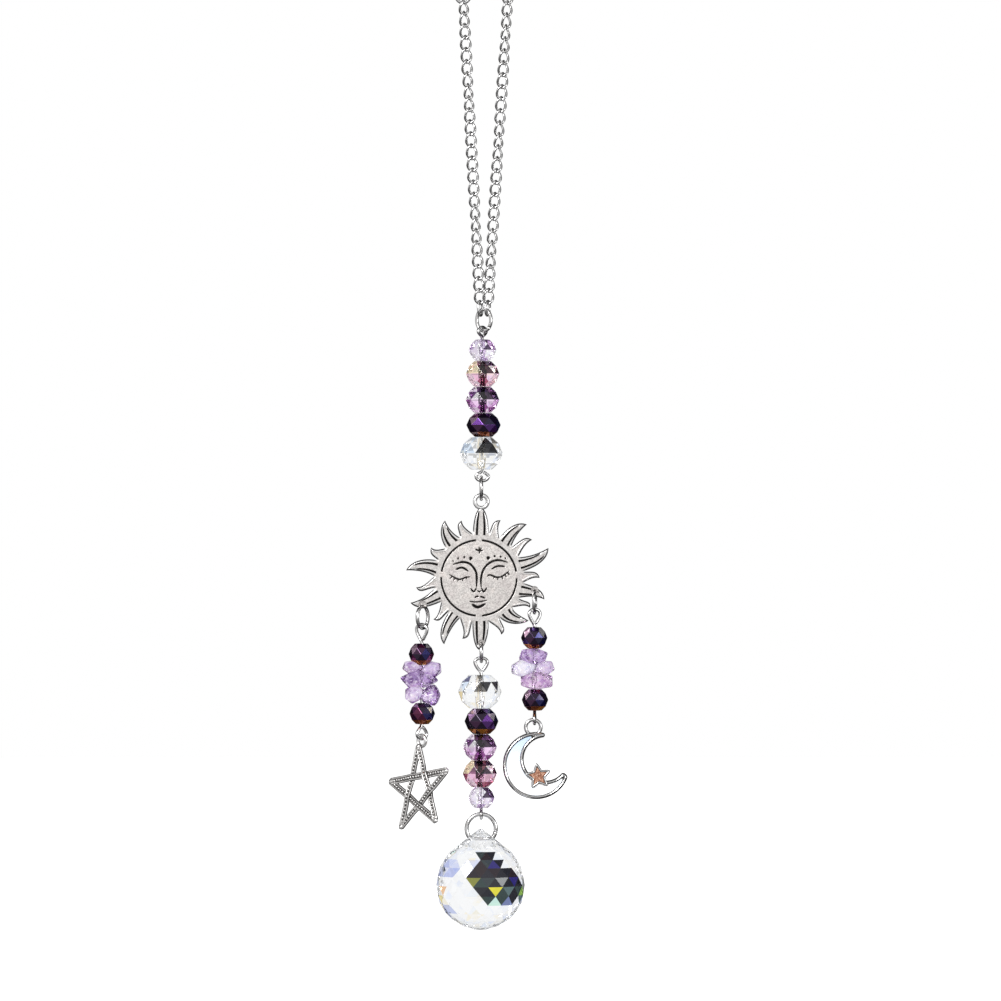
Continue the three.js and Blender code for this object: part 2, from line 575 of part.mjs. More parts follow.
// Star pendant: five bars that cross from point to point, drawn as one outline with six openings
function addStar() {
  const half = star.thickness / 2;
  const points = Array.from({ length: 5 }, (unused, i) => clockwise(i * 72, star.reach));
  const lines = points.map((from, i) => {
    const to = points[(i + 2) % 5];
    const normal = from.clone().add(to).normalize();
    return { normal, distance: normal.dot(from) };
  });
  const meet = (a, sideA, b, sideB) => {
    const first = lines[a % 5];
    const second = lines[b % 5];
    const reachA = first.distance + (sideA * star.bar) / 2;
    const reachB = second.distance + (sideB * star.bar) / 2;
    const scale = first.normal.cross(second.normal);
    return [
      (reachA * second.normal.y - reachB * first.normal.y) / scale,
      (reachB * first.normal.x - reachA * second.normal.x) / scale,
    ];
  };
  const outline = [];
  const openings = [];
  for (let i = 0; i < 5; i += 1) {
    const far = meet(i, 1, i + 3, 1);
    const farReach = Math.hypot(...far);
    const notchBefore = meet(i + 3, 1, i + 4, 1);
    const notchAfter = meet(i, 1, i + 4, 1);
    const short = (farReach - star.tip) / (farReach - star.reach * 0.5);
    for (const notch of [notchBefore, notchAfter]) {
      outline.push([far[0] + (notch[0] - far[0]) * short, far[1] + (notch[1] - far[1]) * short]);
    }
    outline.push(notchAfter);
    openings.push(polygon([meet(i, -1, i + 3, -1), meet(i + 3, -1, i + 4, 1), meet(i, -1, i + 4, 1)]));
  }
  openings.push(polygon(lines.map((unused, i) => meet(4 - i, -1, 5 - i, -1))));
  const shape = polygon(outline);
  shape.holes.push(...openings);
  const body = stand(plate(shape, half, -half, 1)).rotateZ(star.yaw).rotateX(-star.lean);
  body.translate(star.x, star.y, star.z);
  const loop = ring(starLoop.outer, starLoop.outer, starLoop.wire, star.yaw).translate(leftX, 0, starLoop.z);
  addPart('star', geometryOf(solidOf(body).add(solidOf(loop))), castSilver);
}
addStar();

// Moon pendant
function crescent(radius, inner, from, to, segments) {
  const tipRound = 0.6;
  const outer = Array.from({ length: segments + 1 }, (unused, i) => {
    const angle = THREE.MathUtils.lerp(from, to, i / segments);
    return [radius * Math.cos(angle), radius * Math.sin(angle)];
  });
  const turn = ([x, y]) => Math.atan2(y - moonInner.y, x - moonInner.x);
  const start = turn(outer[segments]) - tipRound * 0.1;
  const finish = turn(outer[0]) - 2 * Math.PI + tipRound * 0.1;
  const edge = Array.from({ length: segments + 1 }, (unused, i) => {
    const angle = THREE.MathUtils.lerp(start, finish, i / segments);
    return [moonInner.x + inner * Math.cos(angle), moonInner.y + inner * Math.sin(angle)];
  });
  return polygon([...outer, ...edge]);
}

function fivePoint(reach, narrow) {
  const corners = Array.from({ length: 10 }, (unused, i) => {
    const angle = Math.PI / 2 + moonStar.tilt + (i * Math.PI) / 5;
    const radius = i % 2 === 0 ? reach : narrow;
    return [moonStar.x + radius * Math.cos(angle), moonStar.y + radius * Math.sin(angle)];
  });
  return polygon(corners);
}

function addMoon() {
  const front = moon.thickness / 2;
  const back = -front;
  const floor = front - moon.pocket;
  const body = plate(crescent(moon.radius, moonInner.radius, 1.2, 6.0, 13), front, back, 1);
  const pocketRadius = moon.radius - moon.bar;
  const pocketInner = moonInner.radius + moon.bar;
  const pocket = plate(crescent(pocketRadius, pocketInner, 1.76, 5.79, 10), moon.thickness, floor, 1);
  const starFront = front + moonStar.proud;
  const badge = plate(fivePoint(moonStar.reach, moonStar.waist), starFront, back, 1);
  const wellScale = 1 - moonStar.rim / moonStar.waist;
  const wellShape = fivePoint(moonStar.reach * wellScale, moonStar.waist * wellScale);
  const well = plate(wellShape, moon.thickness, starFront - 0.35, 1);
  const loopShape = flatRing(moonLoop.x, moonLoop.y, moonLoop.outer, moonLoop.outer - 2 * moonLoop.wire, 12);
  const loop = plate(loopShape, 0.5, -0.5, 1);
  const frame = cut(solidOf(body), [pocket]).add(solidOf(badge)).add(solidOf(loop)).subtract(solidOf(well));
  const place = (solid) => stand(geometryOf(solid)).translate(moon.x, 0, moon.z);
  addPart('moon_frame', place(frame), silver);
  const snug = 0.1;
  const paneShape = crescent(pocketRadius - snug, pocketInner + snug, 1.82, 5.73, 10);
  const pane = plate(paneShape, front - 0.2, floor + snug, 1);
  const starRoom = plate(fivePoint(moonStar.reach + 2 * snug, moonStar.waist + snug), moon.thickness, back, 1);
  addPart('moon_inlay', place(cut(solidOf(pane), [starRoom])), finish(0xe4ecf4, 0.25, 0));
  const fillScale = wellScale - 0.05;
  const fillShape = fivePoint(moonStar.reach * fillScale, moonStar.waist * fillScale);
  const fill = plate(fillShape, starFront - 0.05, starFront - 0.3, 1);
  addPart('moon_star_enamel', place(solidOf(fill)), finish(0xb5694a, 0.35, 0.3));
}
addMoon();

// Crystal ball: rings of facet corners below a pointed crown, with a channel for its ring
const ballRows = [
  [0.35, 13.2, 0], [7.05, 8.1, 0], [9.35, 4.7, 0.5], [10.4, 0, 0],
  [9.45, -4.4, 0.5], [6.6, -8.2, 0], [1.6, -10.45, 0.5],
];

function addBall() {
  const corners = ballRows.flatMap(([radius, z, phase]) => cornerRing(10, radius, z, phase));
  const channelWire = ballRing.wire + 2 * clearance + 0.1;
  const rise = ballRing.z - ballCentre.z;
  const channelWidth = ballRing.diameter + channelWire - ballRing.wire;
  const channel = ring(channelWidth, channelWidth, channelWire, 0, 12);
  channel.translate(lowerX - ballCentre.x, 0, rise);
  const ball = cut(solidOf(new ConvexGeometry(corners)), [channel]);
  addPart('crystal_ball', geometryOf(ball).translate(ballCentre.x, 0, ballCentre.z), glass('clear'));
  const ballRingShape = ring(ballRing.diameter, ballRing.diameter, ballRing.wire, 0, 12);
  addPart('ball_ring', ballRingShape.translate(lowerX, 0, ballRing.z), silver);
}
addBall();

export default suncatcher;
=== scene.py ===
import math
import random

import bmesh
import bpy
import numpy as np
from mathutils import Matrix, Vector


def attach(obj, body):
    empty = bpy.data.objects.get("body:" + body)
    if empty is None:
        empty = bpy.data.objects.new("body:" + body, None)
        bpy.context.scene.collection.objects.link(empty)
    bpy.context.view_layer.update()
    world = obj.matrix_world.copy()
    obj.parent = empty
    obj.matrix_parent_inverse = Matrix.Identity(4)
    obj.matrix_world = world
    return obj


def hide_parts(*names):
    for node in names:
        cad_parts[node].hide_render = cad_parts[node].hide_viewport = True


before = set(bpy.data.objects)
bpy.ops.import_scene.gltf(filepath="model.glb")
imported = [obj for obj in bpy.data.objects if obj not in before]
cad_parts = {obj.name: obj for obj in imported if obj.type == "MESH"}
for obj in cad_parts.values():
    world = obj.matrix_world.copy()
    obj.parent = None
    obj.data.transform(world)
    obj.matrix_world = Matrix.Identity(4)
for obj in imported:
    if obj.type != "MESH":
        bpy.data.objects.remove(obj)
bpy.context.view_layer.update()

MM = 0.001
scene = bpy.context.scene
chance = random.Random(7)

# Sizes in millimetres
PIN_WIRE = 0.76
RING_WIRE = 0.85
SMALL_RING_WIRE = 0.7
EYE_WIDTH = 3.7
CLEARANCE = 0.08
BEAD_GAP = 0.06
BORE = 1.5
LINK_PITCH = 2.836
LINK_WIRE = 0.6
LINK_HALF_LENGTH = 1.73
LINK_HALF_WIDTH = 1.16
ARCH_RADIUS = 8.05
CHAIN_RISE = 1.2
LEFT_LEAN = math.radians(3.15)
RIGHT_LEAN = math.radians(3.73)
STRAND_FOOT_Z = -126.6
FOOT_SPREAD = 0.5
LEFT_LINKS = 26
TOP_LINKS = 22
NODE_GAP = 0.2
# Where a strand turns aside: the middle of the turn along the chain, its reach, and the angle
CHAIN_TURNS = (
    (20, 5.5, 0.55), (50.8, 4.5, 0.55), (70, 4, 0.4), (201, 6, -0.55), (226, 5.5, -0.55), (252, 4.5, -0.55),
)
CLASP = dict(length=10.5, claw=5.6, hole=2.9, eye=2.6, eye_wire=0.8)
CLASP_RING_DIAMETER = 4.0
END_RING_DIAMETER = 4.6
END_RING_SAG = 0.36
LINK_END_WIRE = 0.66
LINK_END_REACH = 0.31
CLASP_EYE_GRIP = 0.75
ROLL_FROM = 58
UPPER_X = -1.0
LOWER_X = -1.25
TOP_RING = dict(x=-0.6, width=4.5, height=5.95, top=-126.4, yaw=-0.44)
UPPER_PIN_TOP = -130.64
UPPER_PIN_BOTTOM = -167.53
UPPER_BEADS_TOP = -133.95
SUN_RING_DIAMETER = 6.04
SUN_CENTRE = (-1.79, -189.97)
SUN_LOOP = dict(x=-1.22, z=-172.0, outer=3.95, hole=2.1)
LOWER_RING_DIAMETER = 5.04
LOWER_PIN_TOP = -208.36
LOWER_PIN_BOTTOM = -246.81
LOWER_BEADS_TOP = -212.75
BALL_RING = dict(z=-248.9, diameter=7.87, wire=1.0)
BALL_CENTRE = (-1.4, -262.1)
LEFT_HOLE = (-15.0, -196.2, 0.95)
RIGHT_HOLE = (11.3, -192.7, 0.85)
BOTTOM_HOLE = (-1.2, -205.15, 0.78)
SIDE_RING_DIAMETER = 6.04
LEFT_X = -15.2
RIGHT_X = 11.3
LEFT_PIN_BOTTOM = -228.15
RIGHT_PIN_BOTTOM = -224.6
SIDE_BEAD_LENGTH = 5.0
STAR = dict(x=-15.95, y=-2.3, z=-239.5, reach=10.1, bar=1.75, yaw=-0.82, lean=0.22)
STAR_LOOP = dict(z=-228.2, outer=3.4, wire=0.8)
MOON = dict(x=11.7, z=-234.04, radius=7.9, bar=1.0, thickness=1.6)
MOON_INNER = dict(x=2.12, y=1.55, radius=5.08)
MOON_LOOP = dict(x=-0.71, y=8.98, outer=4.32, wire=0.75)
MOON_STAR = dict(x=0.47, y=-2.49, reach=2.95, waist=1.45, tilt=0.14, proud=0.4)

UPPER_BEADS = [
    ("lilac", 6.5, 5.0, 0.07), ("rose", 7.9, 6.0, 0.1), ("violet", 7.9, 6.1, 0.07), ("dark", 8.1, 5.6, 0.3),
    ("clear", 10.0, 7.6, -0.22),
]
LOWER_BEADS = [
    ("clear", 10.2, 7.8, -0.3), ("dark", 8.0, 6.0, 0.07), ("violet", 8.0, 6.05, -0.3), ("rose", 8.1, 6.3, -0.3),
    ("lilac", 6.25, 4.85, 0.05),
]
# Each flame: the angle of its tip clockwise from the top, its reach, and the angle of the valley after it
FLAMES = [
    (1.8, 16.6, 12.4), (20.7, 14.5, 27.1), (41.8, 16.9, 46.5), (54.4, 15.4, 62.1), (66.6, 17.8, 81.6),
    (90, 14.3, 96.2), (108.2, 16.2, 116.6), (120.3, 13.9, 131), (130.6, 15.4, 152.4), (158.5, 14.3, 167.5),
    (179.5, 16.9, 188.4), (195.3, 14.8, 205), (207.6, 17.6, 221.8), (227.8, 14.45, 237.5), (250.1, 17.1, 257.2),
    (261.6, 14.9, 272), (276, 17.2, 293.4), (302.7, 13.3, 312.1), (329.6, 15.7, 335.3), (343.4, 14.1, 352.2),
]
SUN_THICKNESS = 1.0
VALLEY_RADIUS = 10.4
FACE_LINE_RADIUS = 8.86


# Materials
def fill(tree, node, inputs):
    """Sets a node's inputs, or links those whose value comes from another node."""
    for name, value in inputs.items():
        if isinstance(value, bpy.types.NodeSocket):
            tree.links.new(value, node.inputs[name])
        else:
            node.inputs[name].default_value = value


def add(tree, kind, inputs=None, **settings):
    node = tree.nodes.new(f"ShaderNode{kind}")
    for key, value in settings.items():
        setattr(node, key, value)
    fill(tree, node, inputs or {})
    return node


def made(name, paint, *values):
    """A look: its name, and a material with that name and the shader inputs that its paint gives."""
    material = bpy.data.materials.new(name)
    material.use_nodes = True
    tree = material.node_tree
    fill(tree, tree.nodes["Principled BSDF"], paint(tree, *values))
    return name, material


def coordinate(tree, kind="Object"):
    return add(tree, "TexCoord").outputs[kind]


def noise(tree, scale, detail=3.0, kind="Object"):
    texture = add(tree, "TexNoise", {"Scale": scale, "Detail": detail, "Vector": coordinate(tree, kind)})
    return texture.outputs["Fac"]


def rgba(colour):
    """A colour for a socket; a single number is a grey."""
    return (colour, colour, colour, 1.0) if isinstance(colour, float) else (*colour, 1.0)


def ramp(tree, value, *stops):
    node = add(tree, "ValToRGB", {"Fac": value})
    for _ in stops[2:]:
        node.color_ramp.elements.new(0.5)
    for element, (position, colour) in zip(node.color_ramp.elements, stops):
        element.position = position
        element.color = rgba(colour)
    return node.outputs["Color"]


def spread(tree, value, low, high, span=(0.0, 1.0), step="LINEAR"):
    inputs = {"Value": value, "From Min": span[0], "From Max": span[1], "To Min": low, "To Max": high}
    return add(tree, "MapRange", inputs, interpolation_type=step).outputs["Result"]


def bump(tree, height, strength, distance):
    return add(tree, "Bump", {"Height": height, "Strength": strength, "Distance": distance}).outputs["Normal"]


def attribute(tree, name):
    return add(tree, "Attribute", attribute_name=name).outputs["Color"]


def relief(tree):
    """The ink of a metal piece in red, which is its blackened engraving together with painted shade along edges
    and sides, and its polish in green.
    """
    return add(tree, "SeparateColor", {"Color": attribute(tree, "relief")}).outputs


def mix(tree, factor, a, b, blend="MIX"):
    a, b = (value if isinstance(value, bpy.types.NodeSocket) else rgba(value) for value in (a, b))
    return add(tree, "Mix", {0: factor, 6: a, 7: b}, data_type="RGBA", blend_type=blend).outputs[2]


def back_dulled_to_lighten(tree, front):
    """Polished metal where it faces the front or the sides; where it faces the back it is made dull, so those
    sides show lighter instead of reflecting the dark surroundings: painted light on the back sides.
    """
    facing = add(tree, "SeparateXYZ", {"Vector": coordinate(tree, "Normal")}).outputs["Y"]
    return spread(tree, facing, front, 0.35, (0.15, 0.5))


def plated_silver(tree):
    cloud = noise(tree, 700.0)
    bright = ramp(tree, cloud, (0.3, (0.66, 0.65, 0.64)), (0.7, (0.82, 0.82, 0.83)))
    return {
        "Base Color": mix(tree, relief(tree)["Red"], bright, 0.02),
        "Roughness": spread(tree, noise(tree, 3200.0, 2.0), 0.1, 0.24),
        "Metallic": back_dulled_to_lighten(tree, 1.0),
        "Normal": bump(tree, cloud, 0.12, 0.0001),
    }


def antique_silver(tree):
    cloud = noise(tree, 420.0, 4.0)
    grain = noise(tree, 3000.0)
    # Red darkens the base colour: blackened engraving, and painted shade along edges; green is polish
    ink_shade_and_polish = relief(tree)
    satin = ramp(tree, cloud, (0.3, (0.8, 0.74, 0.72)), (0.55, (0.87, 0.83, 0.8)), (0.75, (0.92, 0.85, 0.81)))
    grained = mix(tree, 0.55, satin, ramp(tree, grain, (0.36, 0.45), (0.6, 1.0)), "MULTIPLY")
    polished = mix(tree, ink_shade_and_polish["Green"], grained, 0.84)
    satin_rough = spread(tree, grain, 0.34, 0.52)
    rough = add(tree, "Math", {0: ink_shade_and_polish["Green"], 1: -0.24, 2: satin_rough}, operation="MULTIPLY_ADD")
    return {
        "Base Color": mix(tree, ink_shade_and_polish["Red"], polished, (0.012, 0.011, 0.011)),
        "Roughness": rough.outputs["Value"],
        "Metallic": back_dulled_to_lighten(tree, 0.9),
        "Normal": bump(tree, grain, 0.3, 0.00006),
    }


def hazed_facets(tree, scale, amount, low):
    haze = ramp(tree, noise(tree, scale), (0.3, low), (0.7, 1.0))
    return mix(tree, amount, attribute(tree, "facet"), haze, "MULTIPLY")


def cut_glass(tree, ior):
    return {
        "Base Color": hazed_facets(tree, 240.0, 0.12, 0.8), "Roughness": 0.0,
        "Transmission Weight": 1.0, "IOR": ior,
    }


def coated_glass(tree):
    return {
        "Base Color": hazed_facets(tree, 380.0, 0.3, 0.5), "Metallic": 0.85, "Roughness": 0.1,
        "Coat Weight": 0.5, "Coat Roughness": 0.02,
    }


def tumbled_quartz(tree, pale, deep, veil):
    cloud = noise(tree, 420.0, 5.0)
    wisps = noise(tree, 1300.0, 6.0)
    toned = mix(tree, 1.0, ramp(tree, cloud, (0.38, deep), (0.56, pale)), attribute(tree, "tone"), "MULTIPLY")
    return {
        "Base Color": mix(tree, ramp(tree, wisps, (0.52, 0.0), (0.64, 0.9)), toned, veil),
        "Transmission Weight": 0.86, "IOR": 1.53, "Roughness": spread(tree, wisps, 0.02, 0.2),
        "Normal": bump(tree, cloud, 0.35, 0.0004),
    }


def pearl(tree):
    height = add(tree, "SeparateXYZ", {"Vector": coordinate(tree)}).outputs["Z"]
    # Painted shading: the inlay turns a deeper blue towards the top and white towards the bottom
    rise = spread(tree, height, 0.0, 1.0, ((MOON["z"] - 6.0) * MM, (MOON["z"] + 7.0) * MM))
    painted_shading = ramp(tree, rise, (0.15, 0.9), (0.6, (0.74, 0.81, 0.88)), (1.0, (0.44, 0.57, 0.74)))
    shimmer = ramp(tree, noise(tree, 260.0, 2.0), (0.35, (0.92, 0.96, 1.0)), (0.65, (1.0, 0.97, 0.97)))
    return {
        "Base Color": mix(tree, 1.0, painted_shading, shimmer, "MULTIPLY"), "Roughness": 0.16, "Coat Weight": 0.8,
        "Normal": bump(tree, noise(tree, 500.0), 0.08, 0.0001),
    }


def glitter(tree):
    flakes = add(tree, "TexVoronoi", {"Scale": 4200.0, "Vector": coordinate(tree)}).outputs
    copper = ((0.15, (0.24, 0.085, 0.045)), (0.5, (0.46, 0.2, 0.115)), (0.85, (0.8, 0.52, 0.38)))
    return {
        "Base Color": ramp(tree, flakes["Color"], *copper), "Metallic": 0.55, "Roughness": 0.3, "Coat Weight": 0.6,
        "Normal": bump(tree, flakes["Distance"], 0.4, 0.0001),
    }


SILVER = made("silver_plate", plated_silver)
ANTIQUE = made("antique_silver", antique_silver)
PEARL = made("pearl_inlay", pearl)
GLITTER = made("copper_enamel", glitter)
GLASSES = {
    colour: made(f"{colour}_crystal", cut_glass, ior)
    for colour, ior in (("clear", 1.45), ("lilac", 1.56), ("rose", 1.56), ("violet", 1.56))
}
GLASSES["dark"] = made("dark_crystal", coated_glass)
QUARTZ_COLOURS = {
    "pale_amethyst": ((0.8, 0.66, 0.9), (0.26, 0.11, 0.38), (0.96, 0.93, 0.97)),
    "violet_amethyst": ((0.56, 0.38, 0.72), (0.09, 0.028, 0.16), (0.9, 0.84, 0.94)),
    "clear_quartz": ((0.94, 0.9, 0.98), (0.66, 0.58, 0.82), (0.98, 0.98, 1.0)),
}
STONES = {name: made(name, tumbled_quartz, *colours) for name, colours in QUARTZ_COLOURS.items()}


def smooth_step(value, low, high):
    t = np.clip((np.asarray(value, float) - low) / (high - low), 0, 1)
    return t * t * (3 - 2 * t)


# Pieces
def put_in(name, data):
    thing = bpy.data.objects.new(name, data)
    scene.collection.objects.link(thing)
    return thing


def piece(name, verts, faces, look, colours=None, smooth=True, nodes=()):
    """A new piece; its colours are facet colours with painted reflections and shade face by face, or relief point
    by point.
    """
    mesh = bpy.data.meshes.new(name)
    mesh.from_pydata((verts * MM).tolist(), [], faces)
    mesh.update()
    if colours is not None:
        layer_name, values = colours
        owner = np.zeros(len(mesh.loops), np.int32)
        mesh.loops.foreach_get("vertex_index", owner)
        if layer_name == "facet":
            owner = np.repeat(np.arange(len(faces)), [len(face) for face in faces])
        full = np.ones((len(owner), 4), np.float32)
        full[:, :3] = np.asarray(values, np.float32)[owner]
        mesh.attributes.new(layer_name, "FLOAT_COLOR", "CORNER").data.foreach_set("color", full.ravel())
    return finish_piece(mesh, name, look, smooth, nodes)


def finish_piece(mesh, name, look, smooth=True, nodes=()):
    slot, material = look
    mesh.materials.clear()
    mesh.materials.append(material)
    mesh.polygons.foreach_set("use_smooth", [smooth] * len(mesh.polygons))
    thing = put_in(f"{name}_look", mesh)
    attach(thing, "root")
    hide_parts(*(nodes or (name,)))
    return thing


def baked(thing):
    """The mesh of a thing with its modifiers applied."""
    bpy.context.view_layer.update()
    return bpy.data.meshes.new_from_object(thing.evaluated_get(bpy.context.evaluated_depsgraph_get()))


def gather(parts):
    """One list of points and faces from several."""
    faces = []
    start = 0
    for part_verts, part_faces in parts:
        faces += [[start + i for i in face] for face in part_faces]
        start += len(part_verts)
    return np.vstack([part_verts for part_verts, part_faces in parts]), faces


def at_height(flat, z):
    return np.column_stack([flat, np.broadcast_to(z, len(flat))])


def unit(vectors):
    return vectors / np.maximum(np.linalg.norm(vectors, axis=1), 1e-9)[:, None]


def around(sides):
    return 2 * math.pi * np.arange(sides) / sides


def tube_faces(rows, sides, closed):
    faces = []
    for i in range(rows if closed else rows - 1):
        k = (i + 1) % rows
        for j in range(sides):
            m = (j + 1) % sides
            faces.append((i * sides + j, i * sides + m, k * sides + m, k * sides + j))
    if not closed:
        faces.append(tuple(range(sides))[::-1])
        faces.append(tuple((rows - 1) * sides + j for j in range(sides)))
    return faces


def wrap(line, first, second, sides, closed):
    """A tube round a line, between two directions across it."""
    turn = around(sides)[None, :, None]
    verts = line[:, None] + np.cos(turn) * first[:, None] + np.sin(turn) * second[:, None]
    return verts.reshape(-1, 3), tube_faces(len(line), sides, closed)


def oval(half_width, half_height, wire, segments=40, sides=10, gap_at=None, gap=0.0):
    """A wire oval in its own XY plane; with gap_at, its wire is cut there."""
    if gap_at is None:
        turn = np.linspace(0, 2 * math.pi, segments, endpoint=False)
    else:
        turn = np.linspace(gap_at + gap, gap_at + 2 * math.pi - gap, segments)
    centre = np.stack([half_width * np.cos(turn), half_height * np.sin(turn), 0 * turn], 1)
    out = unit(np.stack([half_height * np.cos(turn), half_width * np.sin(turn), 0 * turn], 1))
    deep = np.tile([0, 0, wire / 2], (segments, 1))
    return wrap(centre, wire / 2 * out, deep, sides, gap_at is None)


def sweep(path, radius, sides=8):
    path = np.asarray(path, float)
    tangent = unit(np.gradient(path, axis=0))
    normals = np.tile(np.cross(tangent[0], [0.31, 0.87, 0.39]), (len(path), 1))
    for i, along in enumerate(tangent):
        normal = normals[i - 1] - along * np.dot(normals[i - 1], along) if i else normals[0]
        normals[i] = normal / np.linalg.norm(normal)
    return wrap(path, radius * normals, radius * np.cross(tangent, normals), sides, False)


def stand(verts, x=0.0, z=0.0, yaw=0.0, lean=0.0):
    """From a flat drawing (x right, y up, z to the front) to its place."""
    upright = np.stack([verts[:, 0], -verts[:, 2], verts[:, 1]], 1)
    turn = np.array(Matrix.Rotation(-lean, 3, "X") @ Matrix.Rotation(yaw, 3, "Z"))
    return upright @ turn.T + (x, 0, z)


# Chain
ARCH_CENTRE_Z = CHAIN_RISE - ARCH_RADIUS
LEFT_LENGTH = (ARCH_CENTRE_Z - ARCH_RADIUS * math.sin(LEFT_LEAN) - STRAND_FOOT_Z) / math.cos(LEFT_LEAN)
RIGHT_LENGTH = (ARCH_CENTRE_Z - ARCH_RADIUS * math.sin(RIGHT_LEAN) - STRAND_FOOT_Z) / math.cos(RIGHT_LEAN)
ARCH_LENGTH = ARCH_RADIUS * (math.pi + LEFT_LEAN + RIGHT_LEAN)
ROUTE_LENGTH = LEFT_LENGTH + ARCH_LENGTH + RIGHT_LENGTH


def route(s):
    on_arch = min(max((s - LEFT_LENGTH) / ARCH_RADIUS, 0), ARCH_LENGTH / ARCH_RADIUS)
    heading = math.pi + LEFT_LEAN - on_arch
    outward = np.array([math.cos(heading), 0, math.sin(heading)])
    along = np.array([outward[2], 0, -outward[0]])
    straight = min(s - LEFT_LENGTH, 0) + max(s - LEFT_LENGTH - ARCH_LENGTH, 0)
    point = outward * ARCH_RADIUS + along * straight
    point[2] += ARCH_CENTRE_Z
    left = max(1 - s / LEFT_LENGTH, 0)
    right = max(1 - (ROUTE_LENGTH - s) / RIGHT_LENGTH, 0)
    point[1] = FOOT_SPREAD * (left - right)
    return point, along


def link(s, roll, twist):
    verts, faces = oval(LINK_HALF_LENGTH, LINK_HALF_WIDTH, LINK_WIRE, 26, 8)
    angle = twist * math.pi / 4 * verts[:, 0] / LINK_HALF_LENGTH
    y = verts[:, 1] * np.cos(angle) - verts[:, 2] * np.sin(angle)
    z = verts[:, 1] * np.sin(angle) + verts[:, 2] * np.cos(angle)
    point, along = route(s)
    across = np.cross([0, 1, 0], along)
    wide = across * math.cos(roll) + np.array([0, 1, 0]) * math.sin(roll)
    deep = np.cross(along, wide)
    return point + np.outer(verts[:, 0], along) + np.outer(y, wide) + np.outer(z, deep), faces


FOOT_ROLL = math.pi / 2 + TOP_RING["yaw"]
START_ROLL = FOOT_ROLL - math.pi / 4
LINK_REACH = LINK_PITCH / 2 + LINK_END_REACH
CLASP_RING_RADIUS = (CLASP_RING_DIAMETER - SMALL_RING_WIRE) / 2
END_RING_RADIUS = (END_RING_DIAMETER - SMALL_RING_WIRE) / 2
CLASP_RING_S = (LEFT_LINKS - 1) * LINK_PITCH + LINK_REACH - LINK_END_WIRE - CLEARANCE + CLASP_RING_RADIUS
CLASP_EYE_RADIUS = (CLASP["eye"] - CLASP["eye_wire"]) / 2
CLASP_EYE_S = CLASP_RING_S + CLASP_RING_RADIUS - CLASP_EYE_GRIP - CLEARANCE + CLASP_EYE_RADIUS
CLAW_S = CLASP_EYE_S + CLASP["length"] - CLASP["eye"] / 2 - CLASP["claw"] / 2
END_RING_S = CLAW_S + CLASP["hole"] / 2 - SMALL_RING_WIRE / 2 - END_RING_SAG + END_RING_RADIUS
TOP_START = END_RING_S + END_RING_RADIUS - LINK_END_WIRE - CLEARANCE + LINK_REACH
RIGHT_START = TOP_START + TOP_LINKS * LINK_PITCH - NODE_GAP


def roll_at(s):
    turns = sum(turn * math.exp(-(((s - middle) / reach) ** 2)) for middle, reach, turn in CHAIN_TURNS)
    over = smooth_step(s, ROLL_FROM, ROUTE_LENGTH - ROLL_FROM)
    return START_ROLL + (math.pi - 2 * START_ROLL) * over + turns


def add_chain():
    links = [link(0, FOOT_ROLL, 0)]
    count = math.ceil((ROUTE_LENGTH - RIGHT_START) / LINK_PITCH) + 1
    right_pitch = (ROUTE_LENGTH - RIGHT_START) / (count - 1)
    places = [i * LINK_PITCH for i in range(1, LEFT_LINKS)]
    places += [TOP_START + i * LINK_PITCH for i in range(TOP_LINKS)]
    places += [RIGHT_START + i * right_pitch for i in range(count - 1)]
    links += [link(s, roll_at(s), 1) for s in places]
    links.append(link(ROUTE_LENGTH, math.pi - FOOT_ROLL, 0))
    verts, faces = gather(links)
    piece("chain", verts, faces, SILVER, nodes=("chain_left_strand", "chain_top", "chain_right_strand"))


add_chain()


# Rings
def add_ring(name, width, height, wire, x, z, yaw, y=0.0, lean=0.0, gap_at=-0.7):
    verts, faces = oval((width - wire) / 2, (height - wire) / 2, wire, 44, 12, gap_at, 0.012)
    placed = stand(verts, 0, 0, yaw)
    if lean:
        placed = placed @ np.array(Matrix.Rotation(-lean, 3, "Y")).T
    piece(name, placed + (x, y, z), faces, SILVER)


def strand_ring(name, diameter, s, yaw):
    x, y, z = route(s)[0]
    add_ring(name, diameter, diameter, SMALL_RING_WIRE, x, z, yaw, y, LEFT_LEAN)


def hung_ring(name, diameter, x, top, yaw):
    add_ring(name, diameter, diameter, RING_WIRE, x, top - diameter / 2, yaw)


FLAT_OF_EIGHT = math.cos(math.pi / 8)
strand_ring("clasp_ring", CLASP_RING_DIAMETER, CLASP_RING_S, 0)
strand_ring("chain_end_ring", END_RING_DIAMETER, END_RING_S, math.pi / 2)
add_ring(
    "top_jump_ring", TOP_RING["width"], TOP_RING["height"], RING_WIRE, TOP_RING["x"],
    TOP_RING["top"] - TOP_RING["height"] / 2, TOP_RING["yaw"],
)
sun_ring_top = UPPER_PIN_BOTTOM + PIN_WIRE + CLEARANCE + RING_WIRE
hung_ring("sun_ring", SUN_RING_DIAMETER, SUN_LOOP["x"], sun_ring_top, math.pi / 2)
hole_top = {
    name: z - radius * FLAT_OF_EIGHT + CLEARANCE + RING_WIRE
    for name, (x, z, radius) in (("left", LEFT_HOLE), ("right", RIGHT_HOLE), ("bottom", BOTTOM_HOLE))
}
hung_ring("lower_ring", LOWER_RING_DIAMETER, BOTTOM_HOLE[0], hole_top["bottom"], math.pi / 2)
hung_ring("left_ring", SIDE_RING_DIAMETER, LEFT_HOLE[0], hole_top["left"], 1.08)
hung_ring("right_ring", SIDE_RING_DIAMETER, RIGHT_HOLE[0], hole_top["right"], 1.5)
ball_ring_size = (BALL_RING["diameter"], BALL_RING["diameter"], BALL_RING["wire"])
add_ring("ball_ring", *ball_ring_size, LOWER_X, BALL_RING["z"], 0, gap_at=-0.16)


